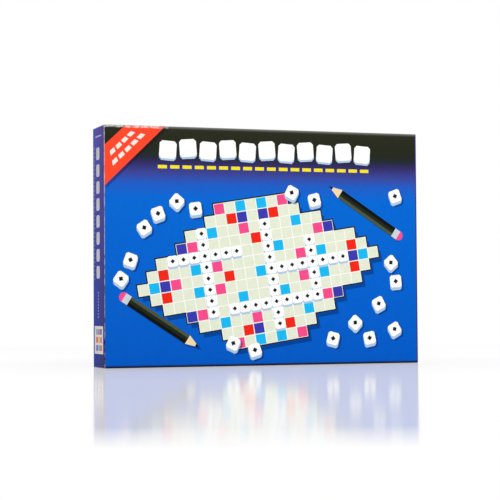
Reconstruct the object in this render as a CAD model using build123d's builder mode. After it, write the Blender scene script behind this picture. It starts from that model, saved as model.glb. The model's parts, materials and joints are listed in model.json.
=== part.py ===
from build123d import *
import math
import os

# A word board game in its lift-off case, standing on a long edge as on a shop shelf.
# X runs along the cover's width, Z is up, and the cover faces -Y. The origin is on the
# ground, under the middle of the closed case. Sizes are in millimetres and degrees.
# A level is a distance in front of the case's back, so it is a height when the case lies flat.

# Case: a chipboard lid and base, each wrapped in paper that turns in over the rim
case_width = 380.0
case_height = 270.0
case_depth = 52.0
chipboard = 1.8
wrap_paper = 0.2
corner_round = 1.2
edge_round = 0.8
lid_clearance = 0.6
base_reveal = 3.0
rim_clearance = 0.5
turn_in = 15.0
stay_leg = 20.0
stay_paper = 0.12

# Folding game board: two chipboard leaves with a printed face and a dark backing
cells = 15
board_room = 5.0
board_margin = 12.5
leaf_core = 2.0
leaf_paper = 0.2
leaf_border = 4.0
face_clearance = 0.3
crease_radius = 0.35
crease_clearance = 0.15

# Rules booklet: a folded cover round a block of pages, held by two wire staples
booklet_width = 200.0
booklet_height = 140.0
page_block = 0.8
cover_sheet = 0.25
staple_wire = 0.5
staple_length = 12.0
staple_leg = 2.0
staple_spacing = 80.0

# Letter tiles, in a square block of rows
tile_rows = 10
tile_columns = 10
tile_slack = 1.0
tile_thick = 5.0
tile_spacing = 0.3
tile_corner = 1.5
tile_edge = 0.5

# Tile racks: a leaning rest, a groove for the tiles' feet and a lip in front of it
rack_count = 4
rack_width = 26.0
rack_height = 20.0
rack_lean = 25.0
rack_heel = 4.0
rack_toe = 1.5
rack_foot = 1.5
rack_crest = 3.0
rack_lip = 2.5
rack_lip_thick = 1.6
rack_wall = 1.8
rack_hollow_share = 0.75
rack_rib = 1.5
rack_bays = 3
rack_edge = 0.5
groove_slack = 0.4

# Insert: a vacuum-formed sheet with a well for the tiles and one for each rack
sheet = 0.8
insert_clearance = 0.5
well_flange = 5.4
well_draft = 3.0
seat_clearance = 0.2
side_clearance = 0.5
corner_clearance = 0.1
finger_width = 24.0
finger_depth = 14.0

# Clearance between the layers that lie on each other in the case
layer_clearance = 0.3

# Cuts run this far past the faces that they open
overrun = 1.0

# Case levels and inside sizes
wall = chipboard + 2 * wrap_paper
base_width = case_width - 2 * (wall + lid_clearance)
base_height = case_height - 2 * (wall + lid_clearance)
inside_width = base_width - 2 * wall
inside_height = base_height - 2 * wall
base_floor = wrap_paper + chipboard
lid_ceiling = case_depth - wrap_paper - chipboard
base_rim = lid_ceiling - rim_clearance

# Stack of layers under the lid, from the front to the back
leaf_thick = leaf_core + 2 * leaf_paper
front_leaf_back = lid_ceiling - rim_clearance
fold_level = front_leaf_back - leaf_thick - face_clearance / 2
rear_leaf_back = fold_level - face_clearance / 2 - leaf_thick
booklet_thick = page_block + 2 * cover_sheet
booklet_level = rear_leaf_back - layer_clearance - booklet_thick
insert_front = booklet_level - layer_clearance

# Game board, folded along its top edge; the tiles follow from its squares.
# Its side lies midway between the case's inside sizes, so the folded board fits the width
# and the tile block fits the height.
board_side = (inside_width + inside_height) / 2 - board_room
cell = (board_side - 2 * board_margin) / cells
crease_reach = crease_radius + crease_clearance
leaf_height = board_side / 2 - crease_reach
fold_rise = board_side / 4
leaf_rise = fold_rise - crease_reach - leaf_height / 2

# Tile block and wells, laid out side by side across the insert
tile_side = cell - tile_slack
tile_pitch = tile_side + tile_spacing
insert_width = inside_width - 2 * insert_clearance
insert_height = inside_height - 2 * insert_clearance
tile_well_depth = tile_thick + 2 * seat_clearance
rack_well_depth = rack_height + 2 * seat_clearance
tile_well_width = tile_columns * tile_pitch - tile_spacing + 2 * side_clearance
tile_well_height = tile_rows * tile_pitch - tile_spacing + 2 * side_clearance
rack_well_height = rack_width + 2 * side_clearance
slope = math.tan(math.radians(well_draft))
# Largest corner at a well's floor that still clears the square corner of the piece in it
well_corner = (math.sqrt(2) * side_clearance - corner_clearance) / (math.sqrt(2) - 1)
tile_mouth_width = tile_well_width + 2 * tile_well_depth * slope
rack_mouth_width = insert_width - 3 * well_flange - tile_mouth_width
rack_well_width = rack_mouth_width - 2 * rack_well_depth * slope
rack_length = rack_well_width - 2 * side_clearance
tile_well_x = -insert_width / 2 + well_flange + tile_mouth_width / 2
rack_well_x = insert_width / 2 - well_flange - rack_mouth_width / 2
rack_pitch = (tile_well_height - rack_well_height) / (rack_count - 1)
rack_rises = [(row - (rack_count - 1) / 2) * rack_pitch for row in range(rack_count)]

# Rack section, drawn with its front foot at zero: the rest leans back from the groove's corner
lean = math.radians(rack_lean)
up_rest = Vector(math.sin(lean), math.cos(lean))
to_lip = Vector(-math.cos(lean), math.sin(lean))
lip_reach = (tile_thick + groove_slack + rack_lip_thick) * math.cos(lean) - rack_lip * math.sin(lean)
groove_corner = Vector(rack_toe + lip_reach, rack_heel)
rest_top = groove_corner + up_rest * ((rack_height - rack_heel) / math.cos(lean))
crest_back = rest_top + Vector(rack_crest, 0)


def level(distance):
    """Plane parallel to the cover, a distance in front of the case's back, centred on the case."""
    return Plane(
        origin=(0, case_depth / 2 - distance, case_height / 2),
        x_dir=(1, 0, 0),
        z_dir=(0, -1, 0),
    )


def save(part, name):
    """Writes one finished piece under its own name."""
    part.label = name
    export_step(part, f"parts/{name}.step")


def panel_edges(part, toward_rim):
    """Outline of a tray's closed panel: the lid's lies at the front, the base's at the back."""
    panels = part.faces().filter_by(Axis.Y).sort_by(Axis.Y)
    return (panels[-1] if toward_rim > 0 else panels[0]).edges()


def cut_apart(part, across, up=()):
    """Cuts a bent sheet into flat panels, at places across the case and up it from its middle."""
    with BuildPart() as panels:
        add(part)
        for place in across:
            split(bisect_by=Plane.YZ.offset(place), keep=Keep.BOTH)
        for rise in up:
            split(bisect_by=Plane.XY.offset(case_height / 2 + rise), keep=Keep.BOTH)
    return panels.part


def rounded_panel(width, height, closed, toward_rim, thick, corner, edge):
    """Flat panel with rounded corners and a softened outer outline."""
    with BuildPart() as panel:
        with BuildSketch(level(closed)):
            RectangleRounded(width, height, corner)
        extrude(amount=toward_rim * thick)
        fillet(panel_edges(panel.part, toward_rim), edge)
    return panel.part


def corner_stays(width, height, fold, rim):
    """Four gummed paper strips that hold a tray's walls together, let into their corners."""
    board_round = corner_round - wrap_paper
    with BuildPart() as stays:
        with BuildSketch(level(fold)):
            with GridLocations(width - stay_leg, height - stay_leg, 2, 2):
                Rectangle(stay_leg, stay_leg)
            RectangleRounded(width, height, board_round, mode=Mode.INTERSECT)
            RectangleRounded(
                width - 2 * stay_paper,
                height - 2 * stay_paper,
                board_round - stay_paper,
                mode=Mode.SUBTRACT,
            )
        extrude(amount=rim - fold)
    return stays.part


def tray_walls(width, height, fold, rim, stays):
    """Four chipboard walls that stand on the panel's fold lines and butt at the corners."""
    inner_width = width - 2 * chipboard
    with BuildPart() as walls:
        with BuildSketch(level(fold)):
            RectangleRounded(width, height, corner_round - wrap_paper)
            Rectangle(inner_width, height - 2 * chipboard, mode=Mode.SUBTRACT)
        extrude(amount=rim - fold)
        add(stays, mode=Mode.SUBTRACT)
    return cut_apart(walls.part, (-inner_width / 2, inner_width / 2))


def side_wraps(width, height, fold, rim, walls, stays):
    """Four paper sides: down the outside of the walls, over the rim and a short way back inside."""
    inner_width = width - 2 * (wrap_paper + chipboard)
    inner_height = height - 2 * (wrap_paper + chipboard)
    toward_rim = math.copysign(1, rim - fold)
    with BuildPart() as sides:
        with BuildSketch(level(fold)):
            RectangleRounded(width, height, corner_round)
            Rectangle(inner_width - 2 * wrap_paper, inner_height - 2 * wrap_paper, mode=Mode.SUBTRACT)
        extrude(amount=rim - fold)
        add(walls, mode=Mode.SUBTRACT)
        add(stays, mode=Mode.SUBTRACT)
        with BuildSketch(level(fold)):
            Rectangle(inner_width, inner_height)
        extrude(amount=rim - fold - toward_rim * turn_in, mode=Mode.SUBTRACT)
    inside = inner_width / 2 - wrap_paper
    return cut_apart(sides.part, (-inside, inside))


def make_tray(name, panel_wrap_name, width, height, closed, rim):
    """Chipboard panel and walls, corner stays and paper wraps of the lid or the base."""
    toward_rim = math.copysign(1, rim - closed)
    board_width = width - 2 * wrap_paper
    board_height = height - 2 * wrap_paper
    board_closed = closed + toward_rim * wrap_paper
    fold = board_closed + toward_rim * chipboard
    board_rim = rim - toward_rim * wrap_paper
    panel = rounded_panel(
        board_width,
        board_height,
        board_closed,
        toward_rim,
        chipboard,
        corner_round - wrap_paper,
        edge_round - wrap_paper,
    )
    stays = corner_stays(board_width, board_height, fold, board_rim)
    walls = tray_walls(board_width, board_height, fold, board_rim, stays)
    sides = side_wraps(width, height, fold, rim, walls, stays)
    with BuildPart() as panel_wrap:
        add(rounded_panel(width, height, closed, toward_rim, wrap_paper + chipboard, corner_round, edge_round))
        add(panel, mode=Mode.SUBTRACT)
    save(panel, f"{name}_panel")
    save(stays, f"{name}_corner_stays")
    save(walls, f"{name}_walls")
    save(sides, f"{name}_side_wraps")
    save(panel_wrap.part, panel_wrap_name)


def well_sketch(center_x, rises, width, height, depth, growth):
    """Rounded outlines of one or more wells at the insert's front, grown by the sheet or not."""
    mouth_corner = well_corner + depth * slope
    with BuildSketch(level(insert_front)) as wells:
        with Locations(*[(center_x, rise) for rise in rises]):
            RectangleRounded(width + 2 * growth, height + 2 * growth, mouth_corner + growth)
    return wells.sketch


def form_deck():
    """The formed sheet without its skirt: a flange and drafted wells with a finger trough across them."""
    rack_mouth_height = rack_well_height + 2 * rack_well_depth * slope
    tile_mouth_height = tile_well_height + 2 * tile_well_depth * slope
    # Each entry is the well's centre, its rises, its mouth and its depth
    wells = [
        (tile_well_x, [0], tile_mouth_width, tile_mouth_height, tile_well_depth),
        (rack_well_x, rack_rises, rack_mouth_width, rack_mouth_height, rack_well_depth),
        (rack_well_x, [0], finger_width, tile_mouth_height, finger_depth),
    ]
    with BuildPart() as deck:
        with BuildSketch(level(insert_front - sheet)):
            Rectangle(insert_width, insert_height)
        extrude(amount=sheet)
        for center_x, rises, width, height, depth in wells:
            formed = well_sketch(center_x, rises, width, height, depth, sheet)
            extrude(formed, amount=-(depth + sheet), taper=well_draft)
        for center_x, rises, width, height, depth in wells:
            hollow = well_sketch(center_x, rises, width, height, depth, 0)
            extrude(hollow, amount=-depth, taper=well_draft, mode=Mode.SUBTRACT)
    return deck.part


def inside_areas(part, areas):
    """What of the deck lies inside upright areas, each from its low x and rise to its high x and rise."""
    with BuildPart() as kept:
        add(part)
        with BuildSketch(level(base_floor)):
            for low_x, low_rise, high_x, high_rise in areas:
                with Locations(((low_x + high_x) / 2, (low_rise + high_rise) / 2)):
                    Rectangle(high_x - low_x, high_rise - low_rise)
        extrude(amount=insert_front - base_floor, mode=Mode.INTERSECT)
    return kept.part


def make_insert():
    """Vacuum-formed insert, in panels that meet at its bends: skirt, flange, tile well, rack wells and lands."""
    half_width = insert_width / 2
    half_height = insert_height / 2
    with BuildPart() as skirt:
        with BuildSketch(level(base_floor)):
            Rectangle(insert_width, insert_height)
            Rectangle(insert_width - 2 * sheet, insert_height - 2 * sheet, mode=Mode.SUBTRACT)
        extrude(amount=insert_front - sheet - base_floor)
    deck = form_deck()
    block_half_width = rack_mouth_width / 2 + sheet
    block_left = rack_well_x - block_half_width
    block_right = rack_well_x + block_half_width
    foot_rise = rack_well_height / 2
    block_top = rack_rises[-1] + foot_rise + rack_well_depth * slope + sheet
    floor_rows = [(block_left, rise - foot_rise, block_right, rise + foot_rise) for rise in rack_rises]
    row_ends = [-block_top] + [row[end] for row in floor_rows for end in (1, 3)] + [block_top]
    land_rows = [
        (block_left, low, block_right, high) for low, high in zip(row_ends[0::2], row_ends[1::2])
    ]
    flange_strips = [
        (block_left, -half_height, half_width, -block_top),
        (block_left, block_top, half_width, half_height),
        (block_right, -block_top, half_width, block_top),
    ]
    rack_feet = (rack_well_x - rack_well_width / 2, rack_well_x + rack_well_width / 2)
    trough_foot = finger_width / 2 - finger_depth * slope
    trough_feet = (rack_well_x - trough_foot, rack_well_x + trough_foot)
    tile_feet = (tile_well_x - tile_well_width / 2, tile_well_x + tile_well_width / 2)
    tile_rises = (-tile_well_height / 2, tile_well_height / 2)
    tile_side = inside_areas(deck, [(-half_width, -half_height, block_left, half_height)])
    save(cut_apart(skirt.part, (sheet - half_width, half_width - sheet)), "insert_skirt")
    save(cut_apart(tile_side, tile_feet, tile_rises), "insert_tile_well")
    save(cut_apart(inside_areas(deck, flange_strips), (), (-block_top, block_top)), "insert_flange")
    save(cut_apart(inside_areas(deck, floor_rows), rack_feet), "insert_rack_floors")
    save(cut_apart(inside_areas(deck, land_rows), rack_feet + trough_feet), "insert_lands")


def make_leaf(name, back_level, toward_face):
    """One half of the game board: a chipboard core, a printed face and a dark backing round the edges."""
    face_width = board_side - 2 * leaf_border
    face_height = leaf_height - leaf_border
    face_level = back_level + toward_face * (leaf_thick - leaf_paper)
    with BuildPart() as core:
        with BuildSketch(level(back_level + toward_face * leaf_paper)):
            with Locations((0, leaf_rise)):
                Rectangle(board_side - 2 * leaf_paper, leaf_height - 2 * leaf_paper)
        extrude(amount=toward_face * leaf_core)
    with BuildPart() as face:
        with BuildSketch(level(face_level)):
            with Locations((0, leaf_rise + leaf_border / 2)):
                Rectangle(face_width, face_height)
        extrude(amount=toward_face * leaf_paper)
    with BuildPart() as backing:
        with BuildSketch(level(back_level)):
            with Locations((0, leaf_rise)):
                Rectangle(board_side, leaf_height)
        extrude(amount=toward_face * leaf_thick)
        add(core.part, mode=Mode.SUBTRACT)
        add(face.part, mode=Mode.SUBTRACT)
    save(core.part, f"{name}_leaf_core")
    save(face.part, f"{name}_leaf_face")
    save(backing.part, f"{name}_leaf_backing")


def make_crease():
    """Linen bead along the fold, round the axis on which the two leaves turn."""
    fold_line = Plane(
        origin=(-board_side / 2, case_depth / 2 - fold_level, case_height / 2 + fold_rise),
        x_dir=(0, 0, 1),
        z_dir=(1, 0, 0),
    )
    with BuildPart() as crease:
        with BuildSketch(fold_line):
            Circle(crease_radius)
        extrude(amount=board_side)
    save(crease.part, "fold_crease")


def make_booklet():
    """Rules booklet: staples through the spine of a folded cover and into the pages."""
    spine_x = -booklet_width / 2
    with BuildPart() as staples:
        for side in (-1, 1):
            low = side * staple_spacing / 2 - staple_length / 2
            high = low + staple_length
            outside = spine_x - staple_wire / 2
            inside = spine_x + cover_sheet + staple_leg
            with BuildLine(level(booklet_level + booklet_thick / 2)) as bend:
                FilletPolyline(
                    (inside, low), (outside, low), (outside, high), (inside, high), radius=staple_wire
                )
            with BuildSketch(Plane(origin=bend.line @ 0, z_dir=bend.line % 0)):
                Circle(staple_wire / 2)
            sweep(path=bend.line)
    with BuildPart() as pages:
        with BuildSketch(level(booklet_level + cover_sheet)):
            with Locations((cover_sheet / 2, 0)):
                Rectangle(booklet_width - cover_sheet, booklet_height)
        extrude(amount=page_block)
        add(staples.part, mode=Mode.SUBTRACT)
    with BuildPart() as cover:
        with BuildSketch(level(booklet_level)):
            Rectangle(booklet_width, booklet_height)
        extrude(amount=booklet_thick)
        with BuildSketch(level(booklet_level + cover_sheet)):
            with Locations((cover_sheet / 2, 0)):
                Rectangle(booklet_width - cover_sheet, booklet_height)
        extrude(amount=page_block, mode=Mode.SUBTRACT)
        add(staples.part, mode=Mode.SUBTRACT)
    save(staples.part, "rules_staples")
    save(pages.part, "rules_pages")
    save(cover.part, "rules_cover")


def rack_outline():
    """Corners of a rack's section, from its front foot round to its back foot."""
    groove = tile_thick + groove_slack
    lip_foot = groove_corner + to_lip * groove
    lip_inside = lip_foot + up_rest * rack_lip
    lip_outside = lip_inside + to_lip * rack_lip_thick
    return [
        Vector(0, 0),
        Vector(0, rack_foot),
        lip_outside,
        lip_inside,
        lip_foot,
        groove_corner,
        rest_top,
        crest_back,
        Vector(rack_width, rack_foot),
        Vector(rack_width, 0),
    ]


def rack_hollow():
    """Corners of the space under a rack's rest, one wall inside its section and open below."""
    hollow_top = rack_height * rack_hollow_share
    front = groove_corner - (up_rest + to_lip) * rack_wall
    front_top = front + up_rest * ((hollow_top - front.Y) / up_rest.Y)
    down_back = (Vector(rack_width, rack_foot) - crest_back).normalized()
    back = crest_back + Vector(down_back.Y, -down_back.X) * rack_wall
    back_top = back + down_back * ((hollow_top - back.Y) / down_back.Y)
    back_low = back + down_back * ((rack_foot - back.Y) / down_back.Y)
    return [
        Vector(front.X, -overrun),
        front,
        front_top,
        back_top,
        back_low,
        Vector(back_low.X, -overrun),
    ]


def make_rack(name, rise):
    """One moulded rack, lying in its well, hollow underneath between its ribs."""
    end_x = rack_well_x - rack_length / 2
    floor_level = insert_front - rack_well_depth + seat_clearance
    section_plane = Plane(
        origin=(
            end_x,
            case_depth / 2 - floor_level,
            case_height / 2 + rise - rack_width / 2,
        ),
        x_dir=(0, 0, 1),
        z_dir=(1, 0, 0),
    )
    bay_length = (rack_length - 2 * rack_wall - (rack_bays - 1) * rack_rib) / rack_bays
    with BuildSketch() as hollow:
        with BuildLine():
            Polyline(*rack_hollow(), close=True)
        make_face()
    with BuildPart() as rack:
        with BuildSketch(section_plane) as section:
            with BuildLine():
                Polyline(*rack_outline(), close=True)
            make_face()
            fillet(section.vertices(), rack_edge)
        extrude(amount=rack_length)
        for bay in range(rack_bays):
            bay_start = rack_wall + bay * (bay_length + rack_rib)
            with BuildSketch(section_plane.offset(bay_start)):
                add(hollow.sketch)
            extrude(amount=bay_length, mode=Mode.SUBTRACT)
    save(rack.part, name)


def make_tile_row(name, rise):
    """One row of moulded letter tiles with rounded corners and softened faces."""
    with BuildPart() as row:
        with BuildSketch(level(insert_front - tile_well_depth + seat_clearance)):
            with Locations((tile_well_x, rise)):
                with GridLocations(tile_pitch, 0, tile_columns, 1):
                    RectangleRounded(tile_side, tile_side, tile_corner)
        extrude(amount=tile_thick)
        faces = row.faces().filter_by(Axis.Y)
        fillet(faces.edges(), tile_edge)
    save(row.part, name)


os.makedirs("parts", exist_ok=True)
make_tray("lid", "lid_cover_wrap", case_width, case_height, case_depth, base_reveal)
make_tray("base", "base_back_wrap", base_width, base_height, 0, base_rim)
make_insert()
make_leaf("rear", rear_leaf_back, 1)
make_leaf("front", front_leaf_back, -1)
make_crease()
make_booklet()
for number, rise in enumerate(rack_rises, 1):
    make_rack(f"rack_{number}", rise)
for number in range(tile_rows):
    make_tile_row(f"tile_row_{number + 1:02d}", ((tile_rows - 1) / 2 - number) * tile_pitch)
print(f"tile {tile_side:.2f}, board {board_side:.1f}, rack {rack_length:.1f} mm long")
print(f"fold axis at level {fold_level:.2f}, rise {fold_rise:.2f}")
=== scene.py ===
# %% [markdown]
# # A word board game in its case
#
# The object is a flat case of wrapped chipboard with a lift-off lid. Inside lie a folding board,
# a rules booklet, and a formed plastic insert that holds tile racks and letter tiles. The solids
# come in as a fixed frame that also knows how the pieces move. This script dresses that frame:
# paper, print, chipboard, plastic and ink. All places are in metres, in the frame of the solids.

# %% Load the frame
import json
import math

import bmesh
import bpy
from mathutils import Matrix, Vector
from mathutils.geometry import convex_hull_2d, delaunay_2d_cdt, intersect_point_line

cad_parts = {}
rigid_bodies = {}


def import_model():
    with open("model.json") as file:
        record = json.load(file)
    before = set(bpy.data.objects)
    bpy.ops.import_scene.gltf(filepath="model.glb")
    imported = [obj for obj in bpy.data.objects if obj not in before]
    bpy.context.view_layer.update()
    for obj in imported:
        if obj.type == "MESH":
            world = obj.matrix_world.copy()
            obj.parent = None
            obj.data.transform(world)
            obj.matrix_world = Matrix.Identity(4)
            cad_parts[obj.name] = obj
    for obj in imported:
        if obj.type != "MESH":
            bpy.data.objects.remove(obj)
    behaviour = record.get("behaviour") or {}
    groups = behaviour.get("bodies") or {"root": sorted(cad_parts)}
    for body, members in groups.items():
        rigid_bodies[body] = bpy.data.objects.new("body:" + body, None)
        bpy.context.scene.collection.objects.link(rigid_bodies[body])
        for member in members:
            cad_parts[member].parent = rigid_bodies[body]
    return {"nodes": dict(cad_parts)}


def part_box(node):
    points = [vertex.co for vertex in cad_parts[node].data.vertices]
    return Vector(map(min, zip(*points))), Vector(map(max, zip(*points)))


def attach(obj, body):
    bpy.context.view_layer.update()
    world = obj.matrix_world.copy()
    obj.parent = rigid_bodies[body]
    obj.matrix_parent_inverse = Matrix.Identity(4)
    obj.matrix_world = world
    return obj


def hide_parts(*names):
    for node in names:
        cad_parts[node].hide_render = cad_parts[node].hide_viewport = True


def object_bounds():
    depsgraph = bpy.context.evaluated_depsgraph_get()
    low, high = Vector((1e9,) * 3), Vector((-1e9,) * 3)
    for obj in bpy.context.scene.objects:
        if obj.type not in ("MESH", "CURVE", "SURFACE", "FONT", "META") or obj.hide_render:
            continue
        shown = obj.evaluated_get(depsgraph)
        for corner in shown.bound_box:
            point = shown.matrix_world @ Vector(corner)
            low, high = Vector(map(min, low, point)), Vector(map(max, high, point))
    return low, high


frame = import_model()
cad_low, cad_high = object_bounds()
nodes = frame["nodes"]
MM = 0.001
print("frame of", len(nodes), "nodes, size in mm:", [round(v / MM, 1) for v in cad_high - cad_low])

# %% [markdown]
# ## Colour and node helpers
#
# Colours are easiest to read as the hex values of a screen, but Blender's sockets want linear
# light, so one function converts them. Materials are trees of nodes; one small function adds a
# node, sets it and links it, which keeps each recipe about as short as its description.

# %% Helpers for colours and nodes
# A Mix node has sockets for each kind of data; these are the ones for colours
MIX_A, MIX_B, MIX_OUT = 6, 7, 2


def linear(hex_colour, alpha=1.0):
    """Linear colour for Blender's sockets from an sRGB hex value."""
    channels = [int(hex_colour[i:i + 2], 16) / 255 for i in (1, 3, 5)]
    return tuple(c / 12.92 if c <= 0.04045 else ((c + 0.055) / 1.055) ** 2.4 for c in channels) + (alpha,)


def add_node(tree, kind, inputs=None, stops=None, **settings):
    """Adds a node with its settings. An input is a value or another node's output; stops fill a ramp."""
    made = tree.nodes.new(kind)
    for key, value in settings.items():
        setattr(made, key, value)
    for key, value in (inputs or {}).items():
        if isinstance(value, bpy.types.NodeSocket):
            tree.links.new(value, made.inputs[key])
        else:
            made.inputs[key].default_value = value
    if stops:
        ramp = made.color_ramp.elements
        ramp[0].position, ramp[0].color = stops[0]
        ramp[-1].position, ramp[-1].color = stops[-1]
        for position, colour in stops[1:-1]:
            ramp.new(position).color = colour
    return made


def per(size_mm):
    """Texture scale that gives a pattern of this size in millimetres."""
    return 1 / (size_mm * MM)


def new_material(name, **values):
    """A principled material with its constants set: the material, its tree, shader and coordinates."""
    material = bpy.data.materials.new(name)
    material.use_nodes = True
    tree = material.node_tree
    shader = tree.nodes["Principled BSDF"]
    for socket, value in values.items():
        shader.inputs[socket.replace("_", " ")].default_value = value
    coords = add_node(tree, "ShaderNodeTexCoord").outputs["Object"]
    return material, tree, shader, coords


print("helpers ready; a mid grey is", [round(c, 3) for c in linear("#808080")])

# %% [markdown]
# ## Paper that rubs white at its edges
#
# The case is covered in printed paper with a thin satin film. Where it bends round an edge the
# film cracks first, and white fibres show. To find the edges, the shader measures how far a
# point lies inside the case's box along each axis. On a face one of these three distances is
# zero, so the middle one is the distance to the nearest edge. Noise then breaks up the rub. The
# cover rubs more than the sides, so depth counts double.

# %% Edge wear
# Grain sizes are in millimetres, as the texture scales want them
LEFT_END, RUB_GRAIN = 14.0 * MM, 9.0
RUB_FROM, RUB_THROUGH = 0.5, 0.62
SIDE_COUNT = (1.0, 2.0, 1.0)


def edge_distance(tree, offset, half):
    """Distance from a point on a box to the box's nearest edge."""
    size = add_node(tree, "ShaderNodeVectorMath", {0: offset}, operation="ABSOLUTE").outputs[0]
    inside = add_node(tree, "ShaderNodeVectorMath", {0: half, 1: size}, operation="SUBTRACT").outputs[0]
    counted = add_node(tree, "ShaderNodeVectorMath", {0: inside, 1: SIDE_COUNT}, operation="MULTIPLY")
    x, y, z = add_node(tree, "ShaderNodeSeparateXYZ", {0: counted.outputs[0]}).outputs
    middle, *others = (
        add_node(tree, "ShaderNodeMath", {0: a, 1: b}, operation="MINIMUM").outputs[0]
        for a, b in ((x, y), (y, z), (x, z)))
    for other in others:
        middle = add_node(tree, "ShaderNodeMath", {0: middle, 1: other}, operation="MAXIMUM").outputs[0]
    return middle


def edge_wear(tree, coords, low, high, reach_mm, left_boost, foot_cut):
    """Mask of rubbed paper along a box's edges, from 0 to 1: more by the left end, less at the foot."""
    centre, half = (low + high) / 2, (high - low) / 2
    offset = add_node(tree, "ShaderNodeVectorMath", {0: coords, 1: centre}, operation="SUBTRACT").outputs[0]
    near = add_node(tree, "ShaderNodeMapRange", {
        "Value": edge_distance(tree, offset, half), "From Max": reach_mm * MM, "To Min": 1.0, "To Max": 0.0})
    amount = add_node(tree, "ShaderNodeTexNoise", {
        "Vector": coords, "Scale": per(RUB_GRAIN), "Detail": 6.0, "Roughness": 0.75}).outputs["Fac"]
    place = add_node(tree, "ShaderNodeSeparateXYZ", {0: offset}).outputs
    changes = (("X", -half.x, LEFT_END - half.x, left_boost), ("Z", -half.z, half.z, foot_cut))
    for axis, start, end, change in changes:
        more = add_node(tree, "ShaderNodeMapRange", {
            "Value": place[axis], "From Min": start, "From Max": end, "To Min": change, "To Max": 0.0})
        amount = add_node(tree, "ShaderNodeMath", {0: amount, 1: more.outputs[0]}, operation="ADD").outputs[0]
    rub = add_node(tree, "ShaderNodeMath", {0: near.outputs[0], 1: amount}, operation="MULTIPLY")
    return add_node(tree, "ShaderNodeMapRange", {
        "Value": rub.outputs[0], "From Min": RUB_FROM, "From Max": RUB_THROUGH}).outputs[0]


lid_low, lid_high = cad_low.copy(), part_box("lid_side_wraps")[1]
base_low, base_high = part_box("base_side_wraps")[0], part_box("base_back_wrap")[1]
print("lid box in mm:", [round(v / MM, 1) for v in lid_high - lid_low])

# %% [markdown]
# ## Wear and a painted highlight on the upper fold
#
# Hands and shelves have also worn the cover's upper fold, and fine scuffs lie along its left part.
# A faint even haze runs all along it: a painted highlight where the rounded fold catches the
# light, with a little wear in it. Such marks could be painted as a mask, but that would need a
# picture. Here each is a product of soft ranges, along the width, the depth or the height, and
# the scuffs come from a noise that is stretched along the fold.

# %% Wear and painted highlight of the cover's upper fold
# The haze is a painted highlight with a little wear in it: its strength, and how far down it reaches
FOLD_HIGHLIGHT_AND_WEAR, FOLD_HIGHLIGHT_REACH = 0.27, 4.2 * MM
SCUFF_GRAIN, SCUFF_STRETCH = 2.0, (0.4, 1.0, 1.0)
SCUFF_FROM, SCUFF_THROUGH, SCUFF_MOST, FAR_SCUFF_SHARE = 0.42, 0.55, 0.65, 0.3
# Distances from the lid's left end, its face and its top at which the wear is full, and then at its least
WEAR_ACROSS, WEAR_BACK, WEAR_DOWN = (60.0 * MM, 115.0 * MM), (1.2 * MM, 3.5 * MM), (2.4 * MM, 4.8 * MM)


def upper_fold_wear_and_highlight(tree, coords, low, high):
    """Mask of the cover's upper fold: a painted highlight all along it, with some wear, and fine scuffs on
    its left.
    """
    axes = add_node(tree, "ShaderNodeSeparateXYZ", {0: coords}).outputs
    streaks = add_node(tree, "ShaderNodeMapping", {"Vector": coords, "Scale": SCUFF_STRETCH}).outputs[0]
    speckle = add_node(tree, "ShaderNodeTexNoise", {
        "Vector": streaks, "Scale": per(SCUFF_GRAIN), "Detail": 5.0, "Roughness": 0.7}).outputs["Fac"]
    left, back, down, fold = (
        add_node(tree, "ShaderNodeMapRange", {
            "Value": axes[axis], "From Min": end, "From Max": full, "To Min": least}).outputs[0]
        for axis, full, end, least in (
            ("X", low.x + WEAR_ACROSS[0], low.x + WEAR_ACROSS[1], FAR_SCUFF_SHARE),
            ("Y", low.y + WEAR_BACK[0], low.y + WEAR_BACK[1], 0.0),
            ("Z", high.z - WEAR_DOWN[0], high.z - WEAR_DOWN[1], 0.0),
            ("Z", high.z, high.z - FOLD_HIGHLIGHT_REACH, 0.0)))
    # Two masks: the scuffs, and the even painted highlight with its bit of wear
    masks = []
    for mask, ranges in ((speckle, (left, back, down)), (FOLD_HIGHLIGHT_AND_WEAR, (back, fold, fold))):
        for share in ranges:
            mask = add_node(tree, "ShaderNodeMath", {0: mask, 1: share}, operation="MULTIPLY").outputs[0]
        masks.append(mask)
    scuffs = add_node(tree, "ShaderNodeMapRange", {
        "Value": masks[0], "From Min": SCUFF_FROM, "From Max": SCUFF_THROUGH, "To Max": SCUFF_MOST})
    # The larger of the scuffs and the painted highlight
    worn = add_node(tree, "ShaderNodeMath", {0: scuffs.outputs[0], 1: masks[1]}, operation="MAXIMUM")
    return worn.outputs[0]


print("upper fold: haze over", FOLD_HIGHLIGHT_REACH / MM, "mm, strongest scuffs over", WEAR_ACROSS[0] / MM, "mm")

# %% [markdown]
# ## Printed papers
#
# Print is flat ink over a ground. An image is the usual way to show it, but faces of the mesh
# stay sharp at any distance and need no picture, so the shapes come as a colour on each face. A
# little transparency in that colour lets the ground show through, as in a printed shadow. The
# ground is a colour or a fade. Paper is never quite even, so a fine mottle varies the tone and
# shallow waves tilt the surface. The cover has a satin film over all that.

# %% Print over a ground
# White of rubbed paper, which on the cover's upper fold is also a painted highlight
WORN_PAPER_AND_HIGHLIGHT = linear("#F2F1F0")
MOTTLE_GRAIN, MOTTLE = 3.5, 0.07
WAVE_DEPTH, WAVE_STRENGTH = 0.3 * MM, 0.15


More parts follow.
